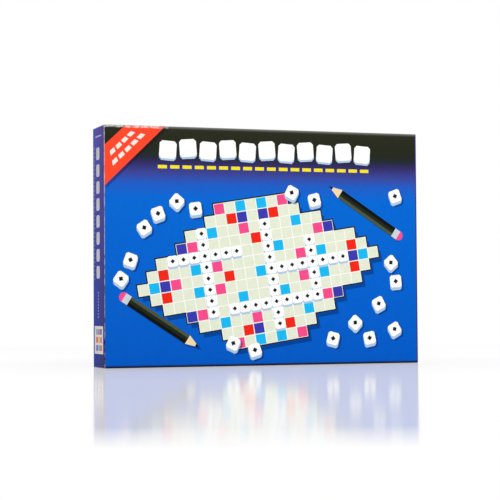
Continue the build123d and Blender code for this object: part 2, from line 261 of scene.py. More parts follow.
def print_over(tree, shader, coords, ground, wave_mm, wear=None):
    """Lays the mesh's inks over a ground, with the paper's mottle, waves, and worn edges with any painted
    highlight.
    """
    ink = add_node(tree, "ShaderNodeAttribute", attribute_name="ink").outputs
    printed = add_node(tree, "ShaderNodeMix", {
        0: ink["Alpha"], MIX_A: ground, MIX_B: ink["Color"]}, data_type="RGBA").outputs[MIX_OUT]
    mottle = add_node(tree, "ShaderNodeTexNoise", {
        "Vector": coords, "Scale": per(MOTTLE_GRAIN), "Detail": 5.0}).outputs["Fac"]
    tone = add_node(tree, "ShaderNodeMapRange", {
        "Value": mottle, "To Min": 1 - MOTTLE, "To Max": 1 + MOTTLE}).outputs[0]
    result = add_node(tree, "ShaderNodeMix", {
        0: 1.0, MIX_A: printed, MIX_B: tone}, data_type="RGBA", blend_type="MULTIPLY").outputs[MIX_OUT]
    if wear:
        result = add_node(tree, "ShaderNodeMix", {
            0: wear, MIX_A: result, MIX_B: WORN_PAPER_AND_HIGHLIGHT}, data_type="RGBA").outputs[MIX_OUT]
    tree.links.new(result, shader.inputs["Base Color"])
    waves = add_node(tree, "ShaderNodeTexNoise", {"Vector": coords, "Scale": per(wave_mm)}).outputs["Fac"]
    relief = add_node(tree, "ShaderNodeBump", {
        "Height": waves, "Strength": WAVE_STRENGTH, "Distance": WAVE_DEPTH})
    tree.links.new(relief.outputs[0], shader.inputs["Normal"])


print("print recipe: a mottle of", MOTTLE_GRAIN, "mm grain, and waves", WAVE_DEPTH / MM, "mm deep")

# %% [markdown]
# ## The cover's paper
#
# The cover is laminated offset print. Its ground is a fade from blue to near black, with a dark
# line at the very foot that is partly print and partly painted shade. The side papers have a fade
# of their own, from indigo at the fold to blue at the rim, which is their ink with painted light
# and shade: darker and more violet towards the fold and the foot, lighter and bluer towards the
# rim and the top. A colour ramp over the height gives such a fade with a few stops. An attribute
# of the mesh says which of the two a face takes. The inks are strong and the film keeps its gloss low.

# %% Cover material
# Shares of the cover's height, from the foot up, and the colour there. The first stops, the dark
# line at the foot, are partly print and partly painted shade.
FRONT_FADE = [
    (0.0, "#0C0C1E"), (0.006, "#17172E"), (0.012, "#0056BC"), (0.35, "#005DC5"), (0.70, "#0063CA"),
    (0.76, "#1C58BD"), (0.805, "#384190"), (0.848, "#2F295D"), (0.873, "#20272E"), (0.90, "#21251A"),
    (1.0, "#27291A")]
# The sides' fades are their ink with painted shade towards the foot and the fold, and painted light towards
# the top and the rim
FOLD_SIDE_INK_AND_SHADING = [(0.0, "#170F56"), (0.5, "#3A2A84"), (1.0, "#503A92")]
RIM_SIDE_INK_AND_SHADING = [(0.0, "#0030B0"), (0.5, "#1640C4"), (1.0, "#4A54CE")]
COVER_RUB, COVER_WAVE = 0.5, 28.0


def laminated_cover_print():
    """Offset print under a satin film: strong flat colours, a soft sheen, white rubbed edges, and painted
    light and shade.
    """
    material, tree, shader, coords = new_material(
        "laminated_cover_print", Roughness=0.45, Specular_IOR_Level=0.03)
    axes = add_node(tree, "ShaderNodeSeparateXYZ", {0: coords}).outputs
    rise = add_node(tree, "ShaderNodeMapRange", {
        "Value": axes["Z"], "From Min": lid_low.z, "From Max": lid_high.z}).outputs[0]
    depth = add_node(tree, "ShaderNodeMapRange", {
        "Value": axes["Y"], "From Min": lid_low.y, "From Max": lid_high.y}).outputs[0]
    # Ramps over the height: the front's print with its painted shade at the foot, and the sides' ink with
    # painted shading
    front, fold_side_shading, rim_side_shading = (
        add_node(tree, "ShaderNodeValToRGB", {"Fac": rise},
                 stops=[(share, linear(colour)) for share, colour in fade]).outputs[0]
        for fade in (FRONT_FADE, FOLD_SIDE_INK_AND_SHADING, RIM_SIDE_INK_AND_SHADING))
    # Across a side's depth, from painted shade at the fold to painted light at the rim
    sides = add_node(tree, "ShaderNodeMix", {
        0: depth, MIX_A: fold_side_shading, MIX_B: rim_side_shading}, data_type="RGBA").outputs[MIX_OUT]
    panel = add_node(tree, "ShaderNodeAttribute", attribute_name="side_panel").outputs["Fac"]
    field = add_node(tree, "ShaderNodeMix", {
        0: panel, MIX_A: front, MIX_B: sides}, data_type="RGBA").outputs[MIX_OUT]
    rubbed = edge_wear(tree, coords, lid_low, lid_high, reach_mm=2.4, left_boost=0.38, foot_cut=-0.18)
    faint = add_node(tree, "ShaderNodeMath", {0: rubbed, 1: COVER_RUB}, operation="MULTIPLY").outputs[0]
    # Scuffs and a painted highlight along the upper fold, over the rubbed edges
    fold_wear_and_highlight = upper_fold_wear_and_highlight(tree, coords, lid_low, lid_high)
    wear = add_node(tree, "ShaderNodeMath", {0: faint, 1: fold_wear_and_highlight}, operation="MAXIMUM").outputs[0]
    print_over(tree, shader, coords, field, COVER_WAVE, wear)
    return material


cover_print = laminated_cover_print()
print("made", cover_print.name, "with", len(cover_print.node_tree.nodes), "nodes")

# %% [markdown]
# ## Prints without film
#
# The board and the booklet are printed on bare paper, on an even ground, so they are duller than
# the cover and don't rub white. The same recipe serves both, with other waves: the board's paper
# has a fine tooth, and the booklet's thin cover bends in broad waves.

# %% Plain print materials
def sheet_print(name, ground, roughness, wave_mm):
    """Plain offset print on an even ground, without film."""
    material, tree, shader, coords = new_material(name, Roughness=roughness, Specular_IOR_Level=0.3)
    print_over(tree, shader, coords, linear(ground), wave_mm)
    return material


board_print = sheet_print("offset_print_on_board", "#DDE2CC", roughness=0.5, wave_mm=0.8)
booklet_print = sheet_print("offset_print_on_booklet", "#F1F0EA", roughness=0.55, wave_mm=20.0)
print("made", board_print.name, "and", booklet_print.name)

# %% [markdown]
# ## Drawing a flat print as faces
#
# A print is many flat shapes that lie over each other. As real stacked sheets they would
# flicker and hide one another, so they are cut into one sheet of triangles that don't overlap.
# Blender's Delaunay function does this and says which shapes lie over each triangle. The inks
# are then laid over each other in drawing order, as a press does.

# %% Inks over each other
def lay_inks(inks):
    """Colour and cover of several inks printed over each other, the last on top."""
    colour, cover = Vector((0, 0, 0)), 0.0
    for *rgb, alpha in inks:
        total = alpha + cover * (1 - alpha)
        if total > 0:
            colour = (Vector(rgb) * alpha + colour * cover * (1 - alpha)) / total
        cover = total
    return (*colour, cover)


black, thin_white = (0.0, 0.0, 0.0, 1.0), (1.0, 1.0, 1.0, 0.5)
print("a thin white over black gives", lay_inks([black, thin_white]))

# %% Cut a print
CUT_TOLERANCE = 1e-4
# The kind of cut that keeps the triangles inside the outlines
INSIDE_OUTLINES = 1


def shoelace(outline):
    """Twice the signed area of an outline; positive when it runs anticlockwise."""
    following = outline[1:] + outline[:1]
    return sum(a[0] * b[1] - b[0] * a[1] for a, b in zip(outline, following))


def lay_print(mesh, sheet, shapes, place, side_panel=0.0):
    """Cuts the shapes into one sheet of faces, clipped to the sheet's outline, and adds it to a mesh."""
    ink = mesh.loops.layers.float_color.get("ink") or mesh.loops.layers.float_color.new("ink")
    side = mesh.faces.layers.float.get("side_panel") or mesh.faces.layers.float.new("side_panel")
    drawn = [(sheet, linear("#FFFFFF", 0.0))] + shapes
    points, outlines = [], []
    for outline, _ in drawn:
        ordered = outline if shoelace(outline) > 0 else outline[::-1]
        outlines.append(list(range(len(points), len(points) + len(ordered))))
        points += [Vector(p) for p in ordered]
    cut_points, _, cut_faces, _, _, sources = delaunay_2d_cdt(
        points, [], outlines, INSIDE_OUTLINES, CUT_TOLERANCE)
    verts = [mesh.verts.new(place(p.x, p.y)) for p in cut_points]
    for corners, over in zip(cut_faces, sources):
        if 0 in over:
            face = mesh.faces.new([verts[i] for i in corners])
            face[side] = side_panel
            colour = lay_inks([drawn[i][1] for i in sorted(over)])
            for loop in face.loops:
                loop[ink] = colour
    loose = [v for v in verts if not v.link_faces]
    bmesh.ops.delete(mesh, geom=loose, context="VERTS")


print("cuts closer than", CUT_TOLERANCE, "mm are merged")

# %% [markdown]
# ## From a mesh to a piece
#
# Every piece rides on a body of the frame, so that it moves with it. A piece may also stand for
# solids of the frame, which are then hidden. Paper and formed sheet are drawn without thickness
# first, and get their wall last, as a modifier.

# %% Piece helpers
def place_piece(data, name, body, slot, *replaced):
    """Makes mesh data a piece: the body that it rides on and the nodes that it stands for. The slot is not
    used.
    """
    piece = bpy.data.objects.new(name, data)
    bpy.context.scene.collection.objects.link(piece)
    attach(piece, body)
    if replaced:
        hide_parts(*replaced)
    return piece


def finish_piece(mesh, name, material, body, slot, *replaced):
    """Turns a bmesh into mesh data with a material, and makes it a piece."""
    data = bpy.data.meshes.new(name)
    mesh.to_mesh(data)
    mesh.free()
    data.materials.append(material)
    return place_piece(data, name, body, slot, *replaced)


def thicken(sheet, depth):
    """Gives a sheet without thickness its wall, behind the face that shows."""
    wall = sheet.modifiers.new("sheet_wall", "SOLIDIFY")
    wall.thickness, wall.offset = depth, -1.0
    return sheet


# %% [markdown]
# ## Shapes of the print
#
# Everything on the print is drawn from a few outlines: rectangles, tiles with clipped corners,
# and flat blocks with a shaded side and a soft shadow. They could be curves, but the cut wants
# points, so each is a list of points in millimetres, and a few functions turn and move it.

# %% Outlines
def rectangle(low_u, low_v, high_u, high_v):
    """Outline of an upright rectangle."""
    return [(low_u, low_v), (high_u, low_v), (high_u, high_v), (low_u, high_v)]


def square(size):
    """Outline of a square about zero."""
    return rectangle(-size / 2, -size / 2, size / 2, size / 2)


def tile_outline(size, corner_share=0.14):
    """Outline of a square with clipped corners, about zero."""
    half, cut = size / 2, size * (0.5 - corner_share)
    quarter_turns = ((1, 0), (0, 1), (-1, 0), (0, -1))
    return [(x * c - y * s, x * s + y * c) for c, s in quarter_turns for x, y in ((half, -cut), (half, cut))]


def turned(outline, degrees):
    """An outline turned anticlockwise about zero."""
    c, s = math.cos(math.radians(degrees)), math.sin(math.radians(degrees))
    return [(u * c - v * s, u * s + v * c) for u, v in outline]


def moved(outline, du, dv):
    """An outline shifted on the sheet."""
    return [(u + du, v + dv) for u, v in outline]


print("a tile outline has", len(tile_outline(1.0)), "corners")

# %% Printed blocks, tiles and dashes
WHITE, TILE_SIDE, TILE_MARK = linear("#F6F6F3"), linear("#A9C0D8"), linear("#1C1C1E")
TABLE_SHADOW = linear("#001B56", 0.55)
RED, PINK, SKY, NAVY = linear("#EA2616"), linear("#EE4A86"), linear("#18B2E8"), linear("#3A38A6")
YELLOW, CREAM, LATTICE = linear("#EFDB22"), linear("#DDE2CC"), linear("#F2F3E8")
DARK_TOP, DARK_SIDE = linear("#1E2418"), linear("#0B0E0A")
SHADOW_SHARES, DIAMOND_SHARE = (0.7, -0.5), 0.3
# The colours come round in a cycle, in which a square's two distances from the middle count unlike
NEAR_COUNT, FAR_COUNT, INK_CYCLE = 2, 3, 10
CYCLE_INKS = {0: SKY, 4: PINK, 7: NAVY, 9: RED}


def draw_slab(shapes, outline, drop, top, side, shadow=None):
    """Draws a convex flat block seen from above: its shadow, its side and its top."""
    both = outline + moved(outline, 0, -drop)
    body = [both[i] for i in convex_hull_2d([Vector(p) for p in both])]
    if shadow:
        shapes.append((moved(body, *(drop * share for share in SHADOW_SHARES)), shadow))
    shapes.append((body, side))
    shapes.append((outline, top))


def draw_tile(shapes, size, turn, middle, drop, shadow=None):
    """Draws a pale tile with a dark diamond on it."""
    draw_slab(shapes, moved(turned(tile_outline(size), turn), *middle), drop, WHITE, TILE_SIDE, shadow)
    shapes.append((moved(turned(square(size * DIAMOND_SHARE), turn + 45), *middle), TILE_MARK))


def draw_dashes(shapes, count, first, pitch, length, low_v, high_v, ink):
    """Draws a line of dashes, a pitch apart, from a first place."""
    for number in range(count):
        start = first + number * pitch
        shapes.append((rectangle(start, low_v, start + length, high_v), ink))


def square_ink(column, row):
    """Ink of a lattice square, by a rule on its distances from the middle square."""
    near, far = sorted((abs(column), abs(row)))
    return CYCLE_INKS.get((NEAR_COUNT * near + FAR_COUNT * far) % INK_CYCLE, CREAM)


print("the middle square's ink is", [round(c, 3) for c in square_ink(0, 0)])

# %% [markdown]
# ## The cover picture
#
# The cover holds a design of its own: a stepped patch of the board's coloured squares, turned on
# a blue ground, with lines of marked tiles crossing on it, two dark pencils beside it and loose
# tiles round it. Blank tiles and a dashed line head it, and a plain ribbon crosses one corner.
# What repeats follows a rule, and only the loose things are placed one by one. The paper
# was folded a little off the print, so the side's indigo shows along the right edge.

# %% Patch of squares
PATCH_MIDDLE, PATCH_TURN, PATCH_CELL = (184.0, 108.0), 9.0, 12.8
PATCH_COLUMNS, PATCH_ROWS = 11, 6
# The corners of the patch's outline lie this many squares across and up from its middle
PATCH_REACH, PATCH_RISE = 12.2, 8.4
PATCH_SHADOW, PATCH_EDGE_SHARE, PATCH_SQUARE_SHARE = (4.6, -5.6), 1.24, 0.92


def on_patch(outline, column, row):
    """An outline laid at a square of the turned patch."""
    placed = turned(moved(outline, column * PATCH_CELL, row * PATCH_CELL), PATCH_TURN)
    return moved(placed, *PATCH_MIDDLE)


def in_patch(column, row):
    """True for the squares of the stepped patch."""
    return abs(column) / PATCH_REACH + abs(row) / PATCH_RISE <= 1


def draw_patch(shapes, squares):
    """The stepped patch of pale and coloured squares over a dark edge."""
    for column, row in squares:
        shapes.append((moved(on_patch(square(PATCH_CELL), column, row), *PATCH_SHADOW), TABLE_SHADOW))
    for column, row in squares:
        shapes.append((on_patch(square(PATCH_CELL * PATCH_EDGE_SHARE), column, row), DARK_TOP))
    for column, row in squares:
        inner = on_patch(square(PATCH_CELL * PATCH_SQUARE_SHARE), column, row)
        shapes.append((on_patch(square(PATCH_CELL), column, row), LATTICE))
        shapes.append((inner, square_ink(column, row)))


patch_squares = [
    (column, row) for row in range(PATCH_ROWS, -PATCH_ROWS - 1, -1)
    for column in range(-PATCH_COLUMNS, PATCH_COLUMNS + 1) if in_patch(column, row)]
print("the patch has", len(patch_squares), "squares")

# %% Crossing lines of tiles
# Each line of tiles: its row or column, and its first and last square
ACROSS_LINES = [(2, -8, -2), (-3, -3, 5), (0, 1, 8)]
UPWARD_LINES = [(-5, -3, 4), (1, -5, 4), (5, -3, 2)]
CROSSING_SHARE, CROSSING_LIFT, CROSSING_DROP = 0.96, 1.2, 2.4


def draw_crossings(shapes, squares):
    """Lines of marked tiles that cross on the patch, the far ones first."""
    for column, row in sorted(squares, key=lambda place: (-place[1], place[0])):
        u, v = on_patch([(0, 0)], column, row)[0]
        draw_tile(shapes, PATCH_CELL * CROSSING_SHARE, PATCH_TURN, (u, v + CROSSING_LIFT), CROSSING_DROP)


crossing_squares = {(column, row) for row, first, last in ACROSS_LINES for column in range(first, last + 1)}
crossing_squares |= {(column, row) for column, first, last in UPWARD_LINES for row in range(first, last + 1)}
print("the lines have", len(crossing_squares), "tiles")

# %% Pencils
PENCIL_LIGHT, PENCIL_BAND, PENCIL_WOOD = linear("#46523C"), linear("#C4CAD2"), linear("#E9D3A4")
PENCIL_LENGTH, PENCIL_BREADTH, PENCIL_SHADOW, SOFT_END_SHARE = 104.0, 11.0, 3.0, 0.3
# Shares of the length from the middle: the soft end, the band's end, the cut and the point
PENCIL_SHARES = (-0.5, -0.43, 0.34, 0.45)


def draw_pencil(shapes, middle, turn):
    """A dark pencil seen from above: soft end, metal band, three facets, cut wood and point."""
    tail, band, cut, point = (PENCIL_LENGTH * share for share in PENCIL_SHARES)
    tip, half, facet = PENCIL_LENGTH / 2, PENCIL_BREADTH / 2, PENCIL_BREADTH / 6

    def draw(outline, ink):
        shapes.append((moved(turned(outline, turn), *middle), ink))

    whole = [(tail, -half), (cut, -half), (tip, 0), (cut, half), (tail, half)]
    shadow_middle = (middle[0] + PENCIL_SHADOW, middle[1] - PENCIL_SHADOW)
    shapes.append((moved(turned(whole, turn), *shadow_middle), TABLE_SHADOW))
    draw(moved(tile_outline(PENCIL_BREADTH, SOFT_END_SHARE), tail, 0), PINK)
    draw(rectangle(tail, -half, band, half), PENCIL_BAND)
    facets = ((-half, -facet, DARK_SIDE), (-facet, facet, DARK_TOP), (facet, half, PENCIL_LIGHT))
    for low, high, ink in facets:
        draw(rectangle(band, low, cut, high), ink)
    draw([(cut, -half), (tip, 0), (cut, half)], PENCIL_WOOD)
    lead = half * (tip - point) / (tip - cut)
    draw([(point, -lead), (tip, 0), (point, lead)], DARK_SIDE)


print("a pencil is", PENCIL_LENGTH, "by", PENCIL_BREADTH, "mm")

# %% Ribbon
cover_width, cover_height = (round(size / MM, 3) for size in (lid_high - lid_low).xz)
RIBBON, RIBBON_DASH, RIBBON_SHADOW = linear("#FB4528"), linear("#FFE3DA"), linear("#08081E", 0.45)
# Heights at which the ribbon leaves the left edge, and places at which it leaves the top
RIBBON_LEFT, RIBBON_TOP, RIBBON_SHADOW_SHIFT = (201.6, 246.6), (71.0, 25.0), 2.5
# Two lines of dashes: their shares across the ribbon, and their number
RIBBON_LINES = [(0.28, 0.42, 5), (0.58, 0.72, 4)]
RIBBON_START_SHARE, RIBBON_SPAN_SHARE, RIBBON_DASH_SHARE = 0.18, 0.68, 0.72


def draw_ribbon(shapes):
    """A plain red band across the upper left corner, with two lines of dashes along it."""
    lower, upper = ([(0, left), (top, cover_height)] for left, top in zip(RIBBON_LEFT, RIBBON_TOP))
    shapes.append((moved(lower, RIBBON_SHADOW_SHIFT, -RIBBON_SHADOW_SHIFT) + upper[::-1], RIBBON_SHADOW))
    shapes.append((lower + upper[::-1], RIBBON))

    def on_band(along, up):
        start = Vector(lower[0]).lerp(Vector(upper[0]), up)
        return tuple(start.lerp(Vector(lower[1]).lerp(Vector(upper[1]), up), along))

    for low, high, count in RIBBON_LINES:
        pitch = RIBBON_SPAN_SHARE / count
        for number in range(count):
            start = RIBBON_START_SHARE + number * pitch
            corners = rectangle(start, low, start + RIBBON_DASH_SHARE * pitch, high)
            shapes.append(([on_band(*corner) for corner in corners], RIBBON_DASH))


print("the ribbon crosses a cover of", cover_width, "by", cover_height, "mm")

# %% Heading
HEADING_LEFT, HEADING_RIGHT, HEADING_MIDDLE = 62.0, 322.0, 245.0
HEADING_TILES, HEADING_TILE_SHARE, HEADING_DROP = 11, 0.84, 2.4
# Every tile leans by this many degrees, and shifts up or down by this much a degree
HEADING_LEAN, LEAN_SHIFT = 4.0, 0.3
DASH_COUNT, DASH_LENGTH_SHARE, DASH_LOW, DASH_HIGH = 18, 0.74, 222.6, 226.4


def draw_heading(shapes):
    """A line of blank tiles that lean left and right in turn, and a dashed line below it."""
    pitch = (HEADING_RIGHT - HEADING_LEFT) / HEADING_TILES
    for number in range(HEADING_TILES):
        lean = HEADING_LEAN if number % 2 else -HEADING_LEAN
        middle = (HEADING_LEFT + (number + 0.5) * pitch, HEADING_MIDDLE + lean * LEAN_SHIFT)
        outline = moved(turned(tile_outline(pitch * HEADING_TILE_SHARE), lean), *middle)
        draw_slab(shapes, outline, HEADING_DROP, WHITE, TILE_SIDE)
    dash_pitch = (HEADING_RIGHT - HEADING_LEFT) / DASH_COUNT
    draw_dashes(shapes, DASH_COUNT, HEADING_LEFT, dash_pitch, dash_pitch * DASH_LENGTH_SHARE,
                DASH_LOW, DASH_HIGH, YELLOW)


print("the heading has", HEADING_TILES, "tiles and", DASH_COUNT, "dashes")

# %% The whole cover
PENCIL_PLACES = [((66.0, 50.0), -33.0), ((312.0, 178.0), 147.0)]
# Loose tiles: place across, place up and turn in degrees
LOOSE_TILES = [
    (62, 172, 20), (84, 186, 50), (106, 178, 8), (46, 156, 33), (30, 120, 70), (250, 190, 15),
    (222, 198, 62), (346, 118, 40), (352, 96, 5), (330, 70, 28), (300, 48, 48), (318, 30, 12),
    (272, 30, 75), (350, 40, 30), (150, 26, 64), (176, 18, 18), (19, 99, 55), (352, 196, 20)]
LOOSE_SHARE, LOOSE_DROP = 1.12, 3.4
FOLD_SHIFT, FOLD_INDIGO = 1.9, linear("#2B2074", 0.85)


def cover_shapes():
    """All shapes of the cover, from the lowest to the topmost."""
    shapes = []
    draw_patch(shapes, patch_squares)
    draw_crossings(shapes, crossing_squares)
    for middle, turn in PENCIL_PLACES:
        draw_pencil(shapes, middle, turn)
    for u, v, turn in LOOSE_TILES:
        draw_tile(shapes, PATCH_CELL * LOOSE_SHARE, turn, (u, v), LOOSE_DROP, TABLE_SHADOW)
    draw_ribbon(shapes)
    draw_heading(shapes)
    shapes.append((rectangle(cover_width - FOLD_SHIFT, 0, cover_width, cover_height), FOLD_INDIGO))
    return shapes


print("the cover has", len(cover_shapes()), "printed shapes")

# %% [markdown]
# ## The print of the lid's sides
#
# A side repeats the cover's heading at a smaller size: a line of blank tiles with a dotted line
# beside it, and a thin line across near its end. A white label with nine coloured squares and a
# few small marks lie near its start. The four sides have two lengths, so the line of tiles is as
# long as a share of the side, in whole tiles.

# %% Side print
SIDE_TILE, SIDE_PITCH, SIDE_DROP = 14.0, 19.0, 1.4
TILES_START_SHARE, TILES_SPAN_SHARE, TILES_DEPTH_SHARE = 0.36, 0.56, 0.56
DOT_LENGTH, DOT_GAP, DOTS_TO_A_TILE = 2.6, 1.0, 4
MARK_COUNT, MARK_LENGTH, MARK_PITCH, MARK_GAP = 9, 2.2, 3.4, 9.0
END_LINE_SHARE, END_LINE_WIDTH = 0.957, 1.6
LABEL_LEFT, LABEL_RIGHT = 15.5, 46.5
LABEL_SQUARE, LABEL_PITCH, LABEL_EDGE, LABEL_FOOT_SHARE = 6.4, 9.0, 3.4, 0.25
LABEL_ROWS, LABEL_INKS = 3, [RED, SKY, NAVY, PINK, YELLOW, RED, NAVY, RED, SKY]
SIDE_TOP, SIDE_EDGE, SIDE_DOTS = linear("#DCDCE8"), linear("#7C80B4"), linear("#C9A94A")
SIDE_MARKS, SIDE_END, SIDE_LABEL = linear("#8A88BC"), linear("#C9BEDC"), linear("#F3EFEB")
# Shares of the side's depth, from the fold, between which the dots, marks, end line and label lie
SIDE_DEPTH_SHARES = ((0.87, 0.91), (0.5, 0.6), (0.25, 0.78), (0.126, 0.9))


def side_shapes(length, depth):
    """Print of one side panel: a line of blank tiles, dotted lines, an end line and a white label."""
    shapes = []
    first = length * TILES_START_SHARE
    count = round(length * TILES_SPAN_SHARE / SIDE_PITCH)
    for number in range(count):
        middle = (first + (number + 0.5) * SIDE_PITCH, depth * TILES_DEPTH_SHARE)
        outline = moved(tile_outline(SIDE_TILE), *middle)
        draw_slab(shapes, outline, SIDE_DROP, SIDE_TOP, SIDE_EDGE)
    dots, marks, line, label = ([depth * share for share in shares] for shares in SIDE_DEPTH_SHARES)
    draw_dashes(shapes, count * DOTS_TO_A_TILE, first + DOT_GAP, SIDE_PITCH / DOTS_TO_A_TILE, DOT_LENGTH,
                *dots, SIDE_DOTS)
    draw_dashes(shapes, MARK_COUNT, LABEL_RIGHT + MARK_GAP, MARK_PITCH, MARK_LENGTH, *marks, SIDE_MARKS)
    end = length * END_LINE_SHARE
    shapes.append((rectangle(end, line[0], end + END_LINE_WIDTH, line[1]), SIDE_END))
    shapes.append((rectangle(LABEL_LEFT, label[0], LABEL_RIGHT, label[1]), SIDE_LABEL))
    for number, ink in enumerate(LABEL_INKS):
        column, row = divmod(number, LABEL_ROWS)
        u = LABEL_LEFT + LABEL_EDGE + column * LABEL_PITCH
        v = depth * LABEL_FOOT_SHARE + row * LABEL_PITCH
        shapes.append((rectangle(u, v, u + LABEL_SQUARE, v + LABEL_SQUARE), ink))
    return shapes


lid_depth = (lid_high - lid_low).y / MM
shape_counts = [len(side_shapes(length, lid_depth)) for length in (cover_width, cover_height)]
print("printed shapes on the long and the short sides:", shape_counts)

# %% [markdown]
# ## The lid's paper wrap
#
# The paper runs over the cover, round rounded edges, down the four sides, over the rim and a
# short way up the inside. A box with its edges bevelled gives the round edges and corners. Its
# flat panels are then taken out, and the cut prints put in their places. The rim and the
# turned-in strip are the open edge drawn inwards twice. A print has points along its edges where
# a shape runs off it, so the folds beside it get the same points, and the seams close. The
# paper's thickness comes last.

# %% Rounded tray
EDGE_ROUND, RIM, TURN_IN, PAPER = 0.9 * MM, 2.2 * MM, 15.0 * MM, 0.2 * MM
# A face looks to a side when its normal leans there by at least this much
LEAST_TILT = 0.2


def bevelled_tray(low, high):
    """A box without its rim face, its edges rounded and its flat panels taken out."""
    mesh = bmesh.new()
    bmesh.ops.create_cube(mesh, size=1.0)
    size, middle = high - low, (low + high) / 2
    for vert in mesh.verts:
        vert.co = Vector(a * b for a, b in zip(vert.co, size)) + middle
    rim = [f for f in mesh.faces if f.normal.y > LEAST_TILT]
    bmesh.ops.delete(mesh, geom=rim, context="FACES_ONLY")
    folds = [e for e in mesh.edges if len(e.link_faces) == 2]
    bmesh.ops.bevel(mesh, geom=folds, offset=EDGE_ROUND, segments=3, profile=0.5, affect="EDGES")
    # A flat panel is larger than any strip of a fold
    panels = [f for f in mesh.faces if f.calc_area() > 2 * EDGE_ROUND * size.x]
    bmesh.ops.delete(mesh, geom=panels, context="FACES_ONLY")
    return mesh


def turn_in_rim(mesh, low, high):
    """Draws the open edge over the rim and up the inside."""
    edges = [e for e in mesh.edges if all(abs(v.co.y - high.y) < CUT_TOLERANCE * MM for v in e.verts)]
    for rise in (0.0, TURN_IN):
        made = bmesh.ops.extrude_edge_only(mesh, edges=edges)["geom"]
        edges = [g for g in made if isinstance(g, bmesh.types.BMEdge)]
        for vert in {v for e in edges for v in e.verts}:
            vert.co.x = min(max(vert.co.x, low.x + RIM), high.x - RIM)
            vert.co.z = min(max(vert.co.z, low.z + RIM), high.z - RIM)
            vert.co.y = high.y - rise


wrap_mesh = bevelled_tray(lid_low, lid_high)
turn_in_rim(wrap_mesh, lid_low, lid_high)
print("folds, rim and turn-in of the lid's wrap:", len(wrap_mesh.faces), "faces")

# %% Prints of the wrap
def colour_folds(mesh):
    """Leaves the folds without ink. Those above and below the cover take its ground, others the sides'."""
    ink = mesh.loops.layers.float_color.new("ink")
    side = mesh.faces.layers.float.new("side_panel")
    for face in mesh.faces:
        by_cover = face.normal.y < -LEAST_TILT and abs(face.normal.z) > LEAST_TILT
        face[side] = 0.0 if by_cover else 1.0
        for loop in face.loops:
            loop[ink] = (1, 1, 1, 0)


def lay_panels(mesh, low, high):
    """Lays the prints of the cover and the four sides between the folds."""
    width, depth, height = (high - low) / MM
    x_axis, y_axis, z_axis = Matrix.Identity(3)
    wide, tall = side_shapes(width, depth), side_shapes(height, depth)
    panels = [
        ((low.x, low.y, low.z), x_axis, z_axis, width, height, cover_shapes(), 0.0),
        ((low.x, low.y, low.z), z_axis, y_axis, height, depth, tall, 1.0),
        ((high.x, low.y, high.z), -z_axis, y_axis, height, depth, tall, 1.0),
        ((low.x, low.y, high.z), x_axis, y_axis, width, depth, wide, 1.0),
        ((high.x, low.y, low.z), -x_axis, y_axis, width, depth, wide, 1.0)]
    edge = EDGE_ROUND / MM
    for start, along, up, length, reach, shapes, panel in panels:
        # The cover ends at a fold all round, and a side runs to the rim
        end = reach if panel else reach - edge
        lay_print(
            mesh, rectangle(edge, edge, length - edge, end), shapes,
            lambda u, v: Vector(start) + along * (u * MM) + up * (v * MM), panel)


colour_folds(wrap_mesh)
lay_panels(wrap_mesh, lid_low, lid_high)
print("with its prints the lid's wrap has", len(wrap_mesh.faces), "faces")

# %% Seams of the wrap
def close_seams(mesh, tolerance):
    """Joins what meets, splits open edges at the points that lie along them, and joins these too."""
    bmesh.ops.remove_doubles(mesh, verts=mesh.verts, dist=tolerance)
    seams = [e for e in mesh.edges if e.is_boundary]
    for point in [v.co.copy() for v in mesh.verts if v.is_boundary]:
        for edge in list(seams):
            start, end = edge.verts
            nearest, share = intersect_point_line(point, start.co, end.co)
            apart = min((point - v.co).length for v in edge.verts)
            if 0 < share < 1 and (nearest - point).length < tolerance < apart:
                seams.append(bmesh.utils.edge_split(edge, start, share)[0])
    bmesh.ops.remove_doubles(mesh, verts=mesh.verts, dist=tolerance)


close_seams(wrap_mesh, CUT_TOLERANCE * MM)
open_edges = sum(edge.is_boundary for edge in wrap_mesh.edges)
lid_wrap = finish_piece(
    wrap_mesh, "lid_printed_wrap", cover_print, "lid", "printed_paper", "lid_cover_wrap", "lid_side_wraps")
thicken(lid_wrap, PAPER)
print("open edges before the wall is added, all at the turn-in's end:", open_edges)

# %% [markdown]
# ## Plain papers and boards
#
# Chipboard is pressed from pulped paper: grey, matt, with darker and lighter fibres in it. The
# base's wrap is paper dyed through. Both are kept as the solids made them, because their shape is
# right, and only get a finish. Fibres are noise stretched along one direction.

# %% Board and stay paper
FIBRE_STRETCH, CLOUD_FIBRES, TOOTH = (0.22, 1.0, 1.0), 12, 0.08 * MM
FIBRE_DARK, FIBRE_PALE = 0.65, 1.35


